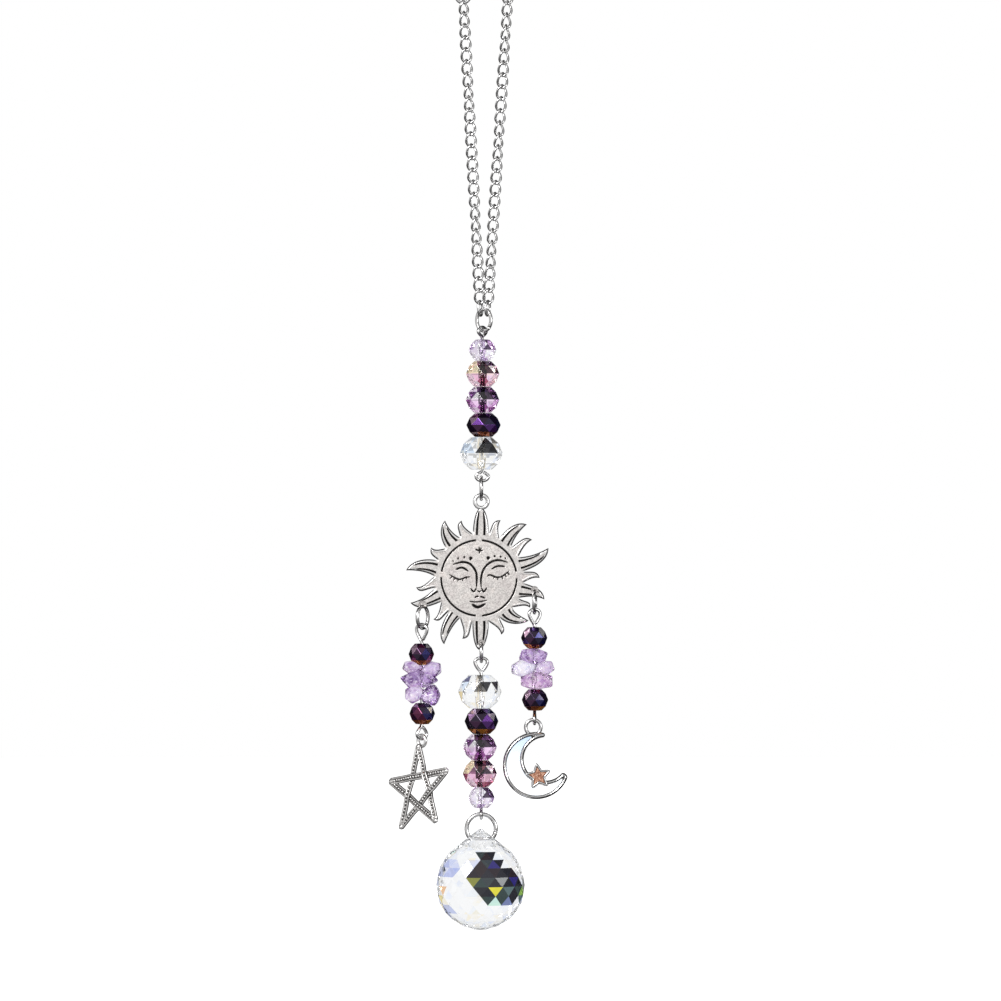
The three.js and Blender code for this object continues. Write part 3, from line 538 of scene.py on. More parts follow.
# Pins with an eye at both ends
def eye_path(tip, up, yaw, height, drawn):
    """A drop-shaped eye, drawn out toward the bead."""
    half_width = (EYE_WIDTH - PIN_WIRE) / 2
    half_height = (height - PIN_WIRE) / 2
    points = []
    for angle in np.radians(np.linspace(-66, 246, 34)):
        low = max(0, -math.sin(angle))
        across = half_width * (1 - 0.6 * low**1.5) * math.cos(angle)
        rise = half_height * math.sin(angle) - drawn * low
        z = tip + up * (rise - height / 2)
        points.append((across * math.cos(yaw), across * math.sin(yaw), z))
    return points


def add_pin(name, x, top, bottom, top_yaw, bottom_yaw, height, top_drawn=0.0, bottom_drawn=0.0):
    upper = eye_path(top, 1, top_yaw, height, top_drawn)
    lower = eye_path(bottom, -1, bottom_yaw, height, bottom_drawn)[::-1]
    shaft_top = top - height - top_drawn - 0.1
    shaft_bottom = bottom + height + bottom_drawn + 0.1
    shaft = [(0, 0, z) for z in np.linspace(shaft_top, shaft_bottom, 12)]
    verts, faces = sweep(upper + shaft + lower, PIN_WIRE / 2, 10)
    piece(name, verts + (x, 0, 0), faces, SILVER)


add_pin("upper_pin", UPPER_X, UPPER_PIN_TOP, UPPER_PIN_BOTTOM, 0.9, 0, 2.95)
add_pin("lower_pin", LOWER_X, LOWER_PIN_TOP, LOWER_PIN_BOTTOM, 0.1, math.pi / 2, 2.85, 1.2)
side_pin_top = {
    name: hole_top[name] - SIDE_RING_DIAMETER + RING_WIRE + CLEARANCE + PIN_WIRE for name in ("left", "right")
}
add_pin("left_pin", LEFT_X, side_pin_top["left"], LEFT_PIN_BOTTOM, -0.55, 0.72, 3.1, 1.5, 0.6)
add_pin("right_pin", RIGHT_X, side_pin_top["right"], RIGHT_PIN_BOTTOM, 0.5, 1.5, 3.1, 1.2, 0.2)


# Cut stones
def facet_strips(rows, count):
    """Staggered rings of corners and the triangles between them; rows are (radius, height, phase)."""
    faces = []
    verts = []
    for radius, z, phase in rows:
        for angle in [2 * math.pi * (i + phase) / count for i in range(count)]:
            verts.append((radius * math.cos(angle), radius * math.sin(angle), z))
    for k in range(len(rows) - 1):
        a = k * count
        b = a + count
        for i in range(count):
            n = (i + 1) % count
            if rows[k][2] < rows[k + 1][2]:
                faces += [(a + i, b + i, a + n), (b + i, b + n, a + n)]
            elif rows[k][2] > rows[k + 1][2]:
                faces += [(a + i, b + i, b + n), (a + i, b + n, a + n)]
            else:
                faces.append((a + i, b + i, b + n, a + n))
    return np.array(verts), faces


def face_normals(verts, faces):
    a, b, c = (verts[[face[k] for face in faces]] for k in range(3))
    return unit(np.cross(b - a, c - a))


def pick(*weighted):
    colours, weights = zip(*weighted)
    return chance.choices(colours, weights)[0]


WHITE = (0.98, 0.99, 1.0)
# The colours of glass facets at the back, their painted reflections and shade among them, are paled by this share
BACK_PALER = 0.35


# Each facet's colour, with its painted reflections, glints and shade, is worked out from the way it faces: to the
# right and up
def clear_colour_and_painted_light(right, up):
    if up > 0.15 and right > -0.1:
        return pick(((0.0016, 0.0016, 0.002), 3), ((0.04, 0.036, 0.032), 1.5), (WHITE, 4))
    if up > 0.15:
        return pick(((0.56, 0.72, 0.95), 3), (WHITE, 5), ((0.03, 0.03, 0.08), 0.6))
    if right < -0.3:
        return pick(((0.85, 0.62, 0.25), 1.5), (WHITE, 5))
    return pick((WHITE, 9), ((0.86, 0.92, 0.99), 1))


def lilac_colour_and_painted_light(right, up):
    if up > 0.1 and right > 0.1:
        return pick(((0.006, 0.002, 0.01), 3), ((0.3, 0.14, 0.36), 2), ((0.97, 0.95, 1.0), 1.5))
    return pick(((0.86, 0.76, 0.95), 4), ((0.3, 0.16, 0.42), 2.4), ((0.98, 0.96, 1.0), 6))


def rose_colour_and_painted_light(right, up):
    if up > 0.1 and right < -0.35:
        return pick(((1.0, 0.84, 0.4), 4), ((0.1, 0.02, 0.06), 1))
    if up > 0.35 and right > 0.6:
        return (0.97, 0.93, 0.96)
    if up > -0.1:
        return pick(((0.005, 0.0009, 0.0025), 4), ((0.05, 0.006, 0.014), 3), ((0.004, 0.0015, 0.006), 2))
    return pick(((0.98, 0.66, 0.86), 5), ((0.8, 0.36, 0.58), 2), ((0.16, 0.015, 0.04), 1))


def violet_colour_and_painted_light(right, up):
    if up > 0.1 and right < -0.35:
        return pick(((0.95, 0.93, 0.98), 4), ((0.04, 0.01, 0.06), 1))
    if up > -0.1:
        return pick(((0.0025, 0.0007, 0.0035), 4), ((0.022, 0.005, 0.028), 3), ((0.003, 0.0012, 0.008), 2))
    return pick(((0.95, 0.62, 0.96), 5), ((0.66, 0.28, 0.7), 2), ((0.1, 0.012, 0.1), 1))


# Dark beads: their own dark colour, with painted highlights and reflections and painted flashes of the accent
# colour on some facets
def coat_colour_and_painted_light(right, up, painted_flash_colour):
    if up > 0.35 and right < -0.3:
        return pick(((0.86, 0.58, 0.78), 4), ((0.2, 0.05, 0.16), 1))
    if up > 0.35 and right > 0.5:
        return pick(((0.92, 0.88, 0.92), 2), ((0.03, 0.015, 0.06), 2))
    if up < -0.45:
        return pick(((0.24, 0.06, 0.02), 3), ((0.55, 0.2, 0.03), 2), ((0.06, 0.01, 0.02), 2))
    if right > 0.1:
        return pick(((0.012, 0.01, 0.09), 2), (painted_flash_colour, 2), ((0.015, 0.01, 0.04), 2))
    return pick(((0.02, 0.008, 0.03), 3), (painted_flash_colour, 1.5), ((0.05, 0.012, 0.05), 2))


COLOURS_AND_PAINTED_LIGHT = {"clear": clear_colour_and_painted_light, "lilac": lilac_colour_and_painted_light, "rose": rose_colour_and_painted_light, "violet": violet_colour_and_painted_light}


# A facet's own glass colour, with painted reflections, glints and shade laid over it
def facet_colour_and_painted_light(colour, normal, painted_flash_colour):
    back = normal[1] > 0.05
    right = -normal[0] if back else normal[0]
    if colour == "dark":
        return coat_colour_and_painted_light(right, normal[2], painted_flash_colour)
    facet_paint = COLOURS_AND_PAINTED_LIGHT[colour](right, normal[2])
    return tuple(BACK_PALER + (1 - BACK_PALER) * c for c in facet_paint) if back else facet_paint


def add_bead(name, colour, diameter, length, x, z, count, painted_flash_colour=(0.07, 0.015, 0.14)):
    reach = ((0.25, 0.5, 0), (0.435, 0.3, 0.5), (0.5, 0, 0), (0.435, -0.3, 0.5), (0.25, -0.5, 0))
    rows = [(diameter * r, length * h, phase) for r, h, phase in reach]
    rows = [(BORE / 2, -length / 2, 0), (BORE / 2, length / 2, 0)] + rows + [(BORE / 2, -length / 2, 0)]
    verts, faces = facet_strips(rows, count)
    facet_paints = [facet_colour_and_painted_light(colour, normal, painted_flash_colour) for normal in face_normals(verts, faces)]
    stone = piece(name, verts + (x, 0, z), faces, GLASSES[colour], ("facet", facet_paints), False)
    clean_mesh(stone)
    edge_bevel(stone, 0.06)


def clean_mesh(thing):
    work = bmesh.new()
    work.from_mesh(thing.data)
    bmesh.ops.remove_doubles(work, verts=work.verts, dist=1e-7)
    bmesh.ops.recalc_face_normals(work, faces=work.faces)
    work.to_mesh(thing.data)
    work.free()


def edge_bevel(thing, width):
    bevel = thing.modifiers.new("edges", "BEVEL")
    bevel.width = width * MM
    bevel.segments = 1
    bevel.limit_method = "ANGLE"
    bevel.angle_limit = 0.2
    bevel.use_clamp_overlap = True


def add_beads(prefix, beads, top, x):
    level = top
    for colour, diameter, length, offset in beads:
        count = 10 if colour == "clear" else 8
        add_bead(f"{prefix}_{colour}_bead", colour, diameter, length, x + offset, level - length / 2, count)
        level -= length + BEAD_GAP


add_beads("upper", UPPER_BEADS, UPPER_BEADS_TOP, UPPER_X)
add_beads("lower", LOWER_BEADS, LOWER_BEADS_TOP, LOWER_X)
# The last colour of each side bead is painted on some of its facets as a flash of reflected light
SIDE_BEADS = (
    ("left_top", LEFT_X - 0.1, -205.35, 6.05, (0.16, 0.015, 0.09)),
    ("left_bottom", LEFT_X + 0.1, -219.3, 6.05, (0.1, 0.01, 0.05)),
    ("right_top", RIGHT_X - 0.1, -201.5, 6.25, (0.05, 0.015, 0.13)),
    ("right_bottom", RIGHT_X + 0.1, -216.1, 6.25, (0.2, 0.015, 0.04)),
)
for name, x, top, diameter, painted_flash_colour in SIDE_BEADS:
    middle = top - SIDE_BEAD_LENGTH / 2
    add_bead(f"{name}_bead", "dark", diameter, SIDE_BEAD_LENGTH, x, middle, 8, painted_flash_colour)


BALL_PROFILE = (
    (0.35, 13.2), (3.7, 10.65), (7.05, 8.1), (8.5, 6.3), (9.5, 4.3), (10.2, 2.2), (10.4, 0), (10.2, -2.2),
    (9.6, -4.3), (8.4, -6.4), (6.7, -8.1), (4.3, -9.6), (1.6, -10.45),
)
BALL_RADIUS = 10.4
BALL_SIDES = 18


def ball_painted_light(middle):
    """Painted light by place, as dark reflections and flashes of colour: dark and green at the right, lavender at
    the upper left, amber at the left.
    """
    u = middle[0] / BALL_RADIUS
    v = middle[2] / BALL_RADIUS
    if middle[1] > 0.5 or v > 0.8:
        return pick((WHITE, 6), ((0.9, 0.92, 0.99), 1))
    if -0.28 < v and u > -0.3 + 0.5 * abs(v - 0.23) and (v < 0.08 or u < 0.92 - 0.93 * (v - 0.08)):
        if v > 0.12:
            return pick(
                ((0.0012, 0.0006, 0.0009), 6), ((0.0007, 0.0007, 0.0013), 3), ((0.0025, 0.004, 0.0045), 2),
                ((0.09, 0.09, 0.004), 0.9), ((0.0016, 0.001, 0.035), 1), ((0.3, 0.32, 0.42), 0.6),
            )
        return pick(
            ((0.0025, 0.0055, 0.005), 5), ((0.0009, 0.0009, 0.0014), 3), ((0.016, 0.035, 0.035), 1.6),
            ((0.09, 0.26, 0.01), 1.1), ((0.69, 0.56, 0.003), 0.8), (WHITE, 0.5),
        )
    if -0.45 < v <= -0.28 and u > 0:
        return pick(((0.4, 0.78, 0.6), 2), (WHITE, 5), ((0.05, 0.07, 0.2), 0.7))
    if 0.12 < v < 0.6 and -0.85 < u < 0:
        return pick(((0.3, 0.36, 0.8), 3), ((0.6, 0.64, 0.92), 4), ((0.42, 0.48, 0.4), 0.7), (WHITE, 4))
    if u < -0.6 and -0.7 < v < 0.35:
        return pick(((0.8, 0.35, 0.14), 1.2), ((0.36, 0.42, 0.78), 2), ((0.95, 0.72, 0.2), 1.2), (WHITE, 3))
    return pick((WHITE, 14), ((0.86, 0.92, 0.99), 1))


def add_ball():
    rows = [(radius, z, 0.5 * (k % 2)) for k, (radius, z) in enumerate(BALL_PROFILE)]
    verts, faces = facet_strips(rows, BALL_SIDES)
    faces.append(tuple(range(BALL_SIDES))[::-1])
    faces.append(tuple((len(rows) - 1) * BALL_SIDES + i for i in range(BALL_SIDES)))
    facet_paints = [ball_painted_light(verts[list(face)].mean(0)) for face in faces]
    placed = verts + (BALL_CENTRE[0], 0, BALL_CENTRE[1])
    ball = piece("crystal_ball", placed, faces, GLASSES["clear"], ("facet", facet_paints), False)
    clean_mesh(ball)
    channel_wire = BALL_RING["wire"] + 2 * CLEARANCE + 0.1
    half = (BALL_RING["diameter"] - BALL_RING["wire"]) / 2
    ring_verts, ring_faces = oval(half, half, channel_wire)
    cutter_mesh = bpy.data.meshes.new("channel")
    cutter_mesh.from_pydata((stand(ring_verts, LOWER_X, BALL_RING["z"]) * MM).tolist(), [], ring_faces)
    cutter = put_in("channel", cutter_mesh)
    carve = ball.modifiers.new("channel", "BOOLEAN")
    carve.object = cutter
    carve.solver = "EXACT"
    carved = baked(ball)
    ball.modifiers.clear()
    ball.data = carved
    bpy.data.objects.remove(cutter)
    edge_bevel(ball, 0.05)


add_ball()


# Tumbled chips and the clasp: rounded from the solids
def rounded(name, voxel, passes, look, fuller=0.0, tone=None):
    thing = put_in("rough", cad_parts[name].data.copy())
    remesh = thing.modifiers.new("remesh", "REMESH")
    remesh.mode = "VOXEL"
    remesh.voxel_size = voxel * MM
    smooth = thing.modifiers.new("smooth", "SMOOTH")
    smooth.factor = 0.5
    smooth.iterations = passes
    if fuller:
        swell = thing.modifiers.new("swell", "DISPLACE")
        swell.strength = fuller * MM
        swell.mid_level = 0.0
    mesh = baked(thing)
    bpy.data.objects.remove(thing)
    if tone:
        layer = mesh.attributes.new("tone", "FLOAT_COLOR", "CORNER")
        layer.data.foreach_set("color", [*tone, 1.0] * len(mesh.loops))
    finish_piece(mesh, name, look)


PALE = (1.0, 1.0, 1.0)
CHIPS = {
    "left": (
        ("pale_amethyst", PALE), ("pale_amethyst", (0.96, 0.94, 1.0)), ("violet_amethyst", PALE),
        ("pale_amethyst", PALE), ("pale_amethyst", (0.97, 0.95, 1.0)),
    ),
    "right": (
        ("violet_amethyst", (1.3, 1.4, 1.25)), ("clear_quartz", PALE), ("pale_amethyst", PALE),
        ("pale_amethyst", (1.05, 0.92, 0.96)),
    ),
}
for side, stones in CHIPS.items():
    for index, (stone, tone) in enumerate(stones):
        rounded(f"{side}_chip_{index + 1}", 0.16, 6, STONES[stone], 0.22, tone)
rounded("clasp_claw", 0.11, 6, SILVER)
rounded("clasp_lever", 0.11, 5, SILVER)


# Sun
def arc(turn, radius, x=0.0, y=0.0):
    return np.stack([x + radius * np.cos(turn), y + radius * np.sin(turn)], -1)


def clockwise(angle, radius):
    return arc(np.radians(90 - angle), radius)


def bezier(p0, p1, p2, p3, t):
    t = t[:, None]
    return (1 - t) ** 3 * p0 + 3 * (1 - t) ** 2 * t * p1 + 3 * (1 - t) * t**2 * p2 + t**3 * p3


# The curve of a flame's edge: its swell and its shoulder, each as an angle and a share of the rise
FULL_EDGE = (0.12, 0.5, 8, 0.9)
HOLLOW_EDGE = (0.2, 0.25, -1.5, 0.55)
PLAIN_EDGE = (0.08, 0.45, 4.5, 0.95)
GROOVE = 0.3
RIM_DROP = 0.24
BACK_POLISH = (0, 0.2, 0)


def flame_edges(index, t):
    """The two edges of a flame, from its valleys to its tip."""
    tip, reach, after = FLAMES[index]
    before = FLAMES[index - 1][2] - (360 if index == 0 else 0)
    rise = reach - VALLEY_RADIUS

    def edge(valley, way, curve):
        swell = valley + way * curve[0] * (after - before)
        return bezier(
            clockwise(valley, VALLEY_RADIUS), clockwise(swell, VALLEY_RADIUS + curve[1] * rise),
            clockwise(tip - way * curve[2], VALLEY_RADIUS + curve[3] * rise), clockwise(tip, reach), t,
        )

    first, second = FULL_EDGE, HOLLOW_EDGE
    if index in (0, 10):
        first = second = PLAIN_EDGE
    elif index % 4 == 0:
        first, second = HOLLOW_EDGE, FULL_EDGE
    return edge(before, 1, first), edge(after, -1, second), before, after


def to_line(points, line):
    """How far each point lies from a line of points."""
    along = line[1:] - line[:-1]
    t = np.sum((points[:, None] - line[:-1]) * along, 2) / np.maximum(np.sum(along**2, 1), 1e-12)
    nearest = line[:-1] + np.clip(t, 0, 1)[..., None] * along
    return np.linalg.norm(points[:, None] - nearest, axis=2).min(1)


def flame_patch(index):
    """Front, edge and back of one flame, in the sun's flat drawing, with the ink and polish of each point; the ink
    is painted shade along the flame's edges and blackened engraving in its grooves.
    """
    t = np.unique(np.concatenate([np.linspace(0, 1, 30), [0.985, 0.995]]))
    edge_in, edge_out, before, after = flame_edges(index, t)
    half = np.array([0, 0.015, 0.04, 0.075, 0.12, 0.16, 0.186, 0.214, 0.262, 0.31, 0.338, 0.385, 0.43])
    u = np.concatenate([half, [0.5], 1 - half[::-1]])
    flat = edge_in[:, None] * (1 - u)[None, :, None] + edge_out[:, None] * u[None, :, None]
    angles = before + (after - before) * u
    flat[0] = clockwise(angles, VALLEY_RADIUS)
    flat = np.concatenate([clockwise(angles, VALLEY_RADIUS - 0.3)[None], flat])
    t = np.concatenate([[-0.05], t])
    points = flat.reshape(-1, 2)
    to_edge = np.minimum(to_line(points, edge_in), to_line(points, edge_out)).reshape(flat.shape[:2])
    fade = smooth_step(t, -0.05, 0.12)[:, None]
    height = -RIM_DROP * fade * (1 - smooth_step(to_edge, 0.0, 0.42))
    polish = fade * (1 - smooth_step(to_edge, 0.45, 0.75)) * 0.7
    # Painted shade: a dark outline along the flame's edges
    ink = 0.95 * fade * (1 - smooth_step(to_edge, 0.18, 0.34))
    if index % 2 == 0:
        fold = np.minimum(u, 1 - u)[None, :]
        line = smooth_step(fold, 0.186, 0.214) * (1 - smooth_step(fold, 0.31, 0.338))
        groove = line * (1 - smooth_step(t, 0.6, 0.75))[:, None]
        height = height - GROOVE * groove
        ink = np.maximum(ink, groove)
        polish = np.maximum(polish, 0.25 * smooth_step(fold, 0.33, 0.42))
    else:
        height = height - 0.06 * smooth_step(to_edge, 0.5, 0.7)
    rows, columns = height.shape
    front = at_height(points, (SUN_THICKNESS / 2 + height).ravel())
    colour = np.stack([ink, polish, 0 * ink], 2).reshape(-1, 3)
    corners = [i * columns + j for i in range(rows - 1) for j in range(columns - 1)]
    faces = [(a + columns, a + columns + 1, a + 1, a) for a in corners]
    back = at_height(flat[:, [0, -1]].reshape(-1, 2), -SUN_THICKNESS / 2)
    for i in range(rows - 1):
        a = i * columns
        b = len(front) + 2 * i
        faces.append((a, a + columns, b + 2, b))
        faces.append((a + 2 * columns - 1, a + columns - 1, b + 1, b + 3))
        faces.append((b, b + 2, b + 3, b + 1))
    return np.vstack([front, back]), faces, np.vstack([colour, np.tile(BACK_POLISH, (len(back), 1))])


# Face lines: points from the face's centre, and width; dots: place and radius
FACE_LINES = [
    ([(6.7, 3.7), (4.6, 4.2), (2.6, 3.6), (1.1, 2.0), (0.5, -0.2), (0.55, -2.2)], 0.46),
    ([(-6.0, 3.2), (-3.9, 3.75), (-2.1, 3.3), (-0.75, 1.6), (-0.5, -0.3), (-0.62, -2.2)], 0.46),
    ([(2.0, 0.4), (2.6, 0.75), (4.35, 0.15), (5.8, 0.6), (7.0, 1.6)], 0.34),
    ([(-6.9, 0.8), (-5.1, -0.2), (-4.1, -0.25), (-3.1, 0.15), (-2.1, 0.3)], 0.34),
    ([(3.0, 2.1), (4.4, 2.8), (6.1, 2.7)], 0.38),
    ([(-5.4, 1.95), (-4.6, 2.35), (-3.6, 2.35), (-2.5, 1.6)], 0.42),
    ([(0.6, -2.4), (1.15, -3.2), (1.85, -2.3)], 0.36),
    ([(-0.62, -2.4), (-1.2, -3.2), (-1.9, -2.5)], 0.36),
    ([(-0.35, -2.95), (0.12, -3.2), (0.5, -2.95)], 0.26),
    ([(-0.95, -4.6), (-0.5, -4.35), (-0.1, -4.3)], 0.34),
    ([(0.3, -4.35), (0.8, -4.45), (1.4, -4.7)], 0.34),
    ([(-2.2, -5.5), (-0.4, -5.6), (1.9, -5.25)], 0.26),
    ([(-1.6, -6.2), (-0.2, -6.85), (1.5, -6.05)], 0.6),
    ([(-0.75, 6.75), (-0.1, 6.5), (0.95, 6.5)], 0.34),
    ([(0.1, 5.75), (0.15, 6.5), (0.0, 7.2)], 0.3),
    ([(0.15, 6.5), (0.6, 7.05)], 0.28),
    ([(5.4, 0.4), (5.55, -0.25)], 0.24), ([(6.1, 0.8), (6.45, 0.15)], 0.24), ([(6.7, 1.2), (7.2, 0.75)], 0.24),
    ([(4.4, 0.15), (4.45, -0.4)], 0.24), ([(3.6, 0.35), (3.5, -0.1)], 0.2),
    ([(-6.3, 0.4), (-6.75, -0.2)], 0.24), ([(-5.6, 0.05), (-5.9, -0.55)], 0.24),
    ([(-4.8, -0.25), (-4.95, -0.8)], 0.24), ([(-3.9, -0.2), (-3.8, -0.65)], 0.24),
    ([(-3.1, 0.15), (-2.9, -0.2)], 0.2),
]
FACE_DOTS = [
    (-6.1, 3.95, 0.16), (-4.9, 4.6, 0.22), (-3.4, 4.9, 0.24), (-1.9, 4.6, 0.4),
    (2.2, 4.7, 0.4), (3.7, 5.15, 0.24), (5.1, 5.0, 0.22), (6.2, 4.65, 0.16),
]


def through(points, count):
    """A smooth line through a few points."""
    pts = np.array([points[0], *points, points[-1]], float)
    line = []
    for a, b, c, d in zip(pts, pts[1:], pts[2:], pts[3:]):
        for t in np.linspace(0, 1, count, endpoint=False):
            line.append(0.5 * (
                2 * b + (c - a) * t + (2 * a - 5 * b + 4 * c - d) * t**2 + (3 * b - a - 3 * c + d) * t**3
            ))
    line.append(pts[-2])
    return np.array(line)


def line_ink(points, drawing, width):
    """How much of a line of that width covers each point, with tapered ends."""
    line = through(drawing, 8)
    best = np.full(len(points), 9.0)
    for k, (a, b) in enumerate(zip(line, line[1:])):
        along = b - a
        t = np.clip(((points - a) @ along) / max(along @ along, 1e-9), 0, 1)
        distance = np.linalg.norm(points - (a + t[:, None] * along), axis=1)
        place = (k + t) / (len(line) - 1)
        half = width / 2 * (0.35 + 0.65 * np.clip(np.minimum(place, 1 - place) * 5, 0, 1))
        best = np.minimum(best, distance - half)
    return 1 - smooth_step(best, -0.05, 0.05)


def face_ink(flat):
    ink = np.zeros(len(flat))
    for drawing, width in FACE_LINES:
        near = np.all((flat > np.min(drawing, 0) - 1.0) & (flat < np.max(drawing, 0) + 1.0), axis=1)
        ink[near] = np.maximum(ink[near], line_ink(flat[near], drawing, width))
    for x, y, radius in FACE_DOTS:
        distance = np.linalg.norm(flat - (x, y), axis=1)
        ink = np.maximum(ink, 1 - smooth_step(distance, radius - 0.05, radius + 0.05))
    return ink


def face_patch():
    radii = np.concatenate([
        np.linspace(0.02, 8.5, 96), [8.58, 8.62, 8.66, 8.75, 8.86, 8.97, 9.06, 9.1, 9.14],
        np.linspace(9.25, VALLEY_RADIUS - 0.28, 8),
    ])
    count = 400
    angles = np.linspace(0, 360, count, endpoint=False)
    flat = (radii[:, None, None] * clockwise(angles, 1.0)[None]).reshape(-1, 2)
    angle = np.tile(angles, len(radii))
    radius = np.repeat(radii, count)
    ring_ink = 1 - smooth_step(np.abs(radius - FACE_LINE_RADIUS), 0.19, 0.25)
    for low, high in ((-4.5, 4.5), (80, 91), (175, 185), (271, 280)):
        half = (high - low) / 2
        away = np.abs((angle - low - half + 180) % 360 - 180)
        ring_ink = ring_ink * smooth_step(away, half - 0.5, half + 0.5)
    ink = np.maximum(face_ink(flat), ring_ink)
    dome = 0.12 * (1 - np.clip(radius / FACE_LINE_RADIUS, 0, 1) ** 2)
    polish = smooth_step(radius, FACE_LINE_RADIUS + 0.1, FACE_LINE_RADIUS + 0.5) * 0.2
    front = at_height(flat, SUN_THICKNESS / 2 + dome - GROOVE * ink)
    faces = []
    for i in range(len(radii) - 1):
        for j in range(count):
            k = (j + 1) % count
            faces.append((i * count + k, (i + 1) * count + k, (i + 1) * count + j, i * count + j))
    faces.append(tuple(range(count)))
    faces.append(tuple(len(front) + j for j in range(count)))
    verts = np.vstack([front, at_height(flat[-count:], -SUN_THICKNESS / 2)])
    colour = np.stack([ink, polish, 0 * ink], 1)
    return verts, faces, np.vstack([colour, np.tile(BACK_POLISH, (count, 1))])


def open_hole(verts, faces, x, y, radius):
    """Cuts a round hole through a patch: points inside move out to its edge and the faces inside go."""
    away = verts[:, :2] - (x, y)
    inside = np.linalg.norm(away, axis=1) < radius
    moved = verts.copy()
    moved[inside, :2] = (unit(away) * radius + (x, y))[inside]
    return moved, [face for face in faces if not all(inside[i] for i in face)]


def hole_wall(x, y, radius, count=28):
    rim = arc(around(count), radius, x, y)
    half = SUN_THICKNESS / 2
    verts = np.vstack([at_height(rim, z) for z in (half - 0.04, -half)])
    return verts, [(j, (j + 1) % count, count + (j + 1) % count, count + j) for j in range(count)]


def add_sun():
    middle_x, middle_z = SUN_CENTRE
    holes = [(x - middle_x, z - middle_z, radius) for x, z, radius in (LEFT_HOLE, RIGHT_HOLE, BOTTOM_HOLE)]
    verts, faces, colour = face_patch()
    parts = [(verts, faces)]
    colours = [colour]
    for index in range(len(FLAMES)):
        verts, faces, colour = flame_patch(index)
        for hole in holes:
            verts, faces = open_hole(verts, faces, *hole)
        parts.append((verts, faces))
        colours.append(colour)
    for hole in holes:
        parts.append(hole_wall(*hole))
        colours.append(np.tile([0.35, 0.4, 0], (len(parts[-1][0]), 1)))
    wire = (SUN_LOOP["outer"] - SUN_LOOP["hole"]) / 2
    radius = (SUN_LOOP["outer"] - wire) / 2
    loop_verts, loop_faces = oval(radius, radius, wire, 40, 12)
    loop_place = (SUN_LOOP["x"] - middle_x, SUN_LOOP["z"] - middle_z, 0)
    parts.append((loop_verts * (1, 1, 1.1) + loop_place, loop_faces))
    colours.append(np.tile([0, 0.85, 0], (len(loop_verts), 1)))
    verts, faces = gather(parts)
    sun = piece("sun", stand(verts, *SUN_CENTRE), faces, ANTIQUE, ("relief", np.vstack(colours)))
    sun.modifiers.new("edges", "EDGE_SPLIT").split_angle = 0.9


add_sun()


# Star: five woven bars, each with two rails and a row of grains
RAIL_RADIUS = 0.26
GRAIN_PITCH = 0.85
GRAIN_RADIUS = 0.34
GRAIN_LIFT = 0.13
BED_HALF = 0.12
WEAVE = 0.26
BAR_STEPS = 48


def icosphere():
    ball = bmesh.new()
    bmesh.ops.create_icosphere(ball, subdivisions=1, radius=1.0)
    verts = np.array([v.co for v in ball.verts])
    faces = [[v.index for v in f.verts] for f in ball.faces]
    ball.free()
    return verts, faces


def add_star():
    points = [clockwise(72 * i, STAR["reach"]) for i in range(5)]
    rail_at = STAR["bar"] / 2 - RAIL_RADIUS
    grain_verts, grain_faces = icosphere()
    parts = []
    colours = []

    def put(verts, faces, ink, polish):
        parts.append((verts, faces))
        shade = np.zeros((len(verts), 3))
        shade[:, 0] = ink
        shade[:, 1] = polish
        colours.append(shade)

    for i in range(5):
        start, end = points[i], points[(i + 2) % 5]
        length = np.linalg.norm(end - start)
        along = (end - start) / length
        across = np.array([-along[1], along[0]])
        t = np.linspace(0, 1, BAR_STEPS)
        weave = WEAVE * (np.exp(-((t - 0.382) / 0.07) ** 2) - np.exp(-((t - 0.618) / 0.07) ** 2))
        middle = start + np.outer(t * length, along)
        for side in (-1, 1):
            verts, faces = sweep(at_height(middle + side * rail_at * across, weave), RAIL_RADIUS)
            # Painted shade: each rail darkens towards its outer side into a dark outline
            outward = np.abs((verts[:, :2] - start) @ across) - rail_at
            put(verts, faces, 0.95 * smooth_step(outward, 0.12, 0.24), 0.5)
        bed = np.stack([
            at_height(middle + side * rail_at * across, weave + level)
            for side, level in ((-1, BED_HALF), (1, BED_HALF), (1, -BED_HALF), (-1, -BED_HALF))
        ], 1).reshape(-1, 3)
        put(bed, tube_faces(BAR_STEPS, 4, False), 0.9, 0.0)
        for k in range(int(length / GRAIN_PITCH)):
            s = (k + 0.5) * GRAIN_PITCH
            lift = np.interp(s / length, t, weave)
            for level in (GRAIN_LIFT, -GRAIN_LIFT):
                centre = (*(start + along * s), lift + level)
                put(grain_verts * GRAIN_RADIUS + centre, grain_faces, 0.0, 0.7)
    for point in points:
        put(grain_verts * (0.8, 0.8, 0.5) + (*point, 0), grain_faces, 0.0, 0.6)
    verts, faces = gather(parts)
    placed = stand(verts, STAR["x"], STAR["z"], STAR["yaw"], STAR["lean"]) + (0, STAR["y"], 0)
    half = (STAR_LOOP["outer"] - STAR_LOOP["wire"]) / 2
    loop_verts, loop_faces = oval(half, half, STAR_LOOP["wire"], 36, 10)
    loop_placed = stand(loop_verts, LEFT_X, STAR_LOOP["z"], STAR["yaw"])
    colours.append(np.tile([0, 0.8, 0], (len(loop_verts), 1)))
    verts, faces = gather([(placed, faces), (loop_placed, loop_faces)])
    piece("star", verts, faces, ANTIQUE, ("relief", np.vstack(colours)))


add_star()


# Moon
def crescent(radius, inner, first, last, segments=60):
    outer = arc(np.linspace(first, last, segments), radius)
    x, y = MOON_INNER["x"], MOON_INNER["y"]
    start, end = (math.atan2(point[1] - y, point[0] - x) for point in (outer[-1], outer[0]))
    return np.vstack([outer, arc(np.linspace(start, end - 2 * math.pi, segments), inner, x, y)])


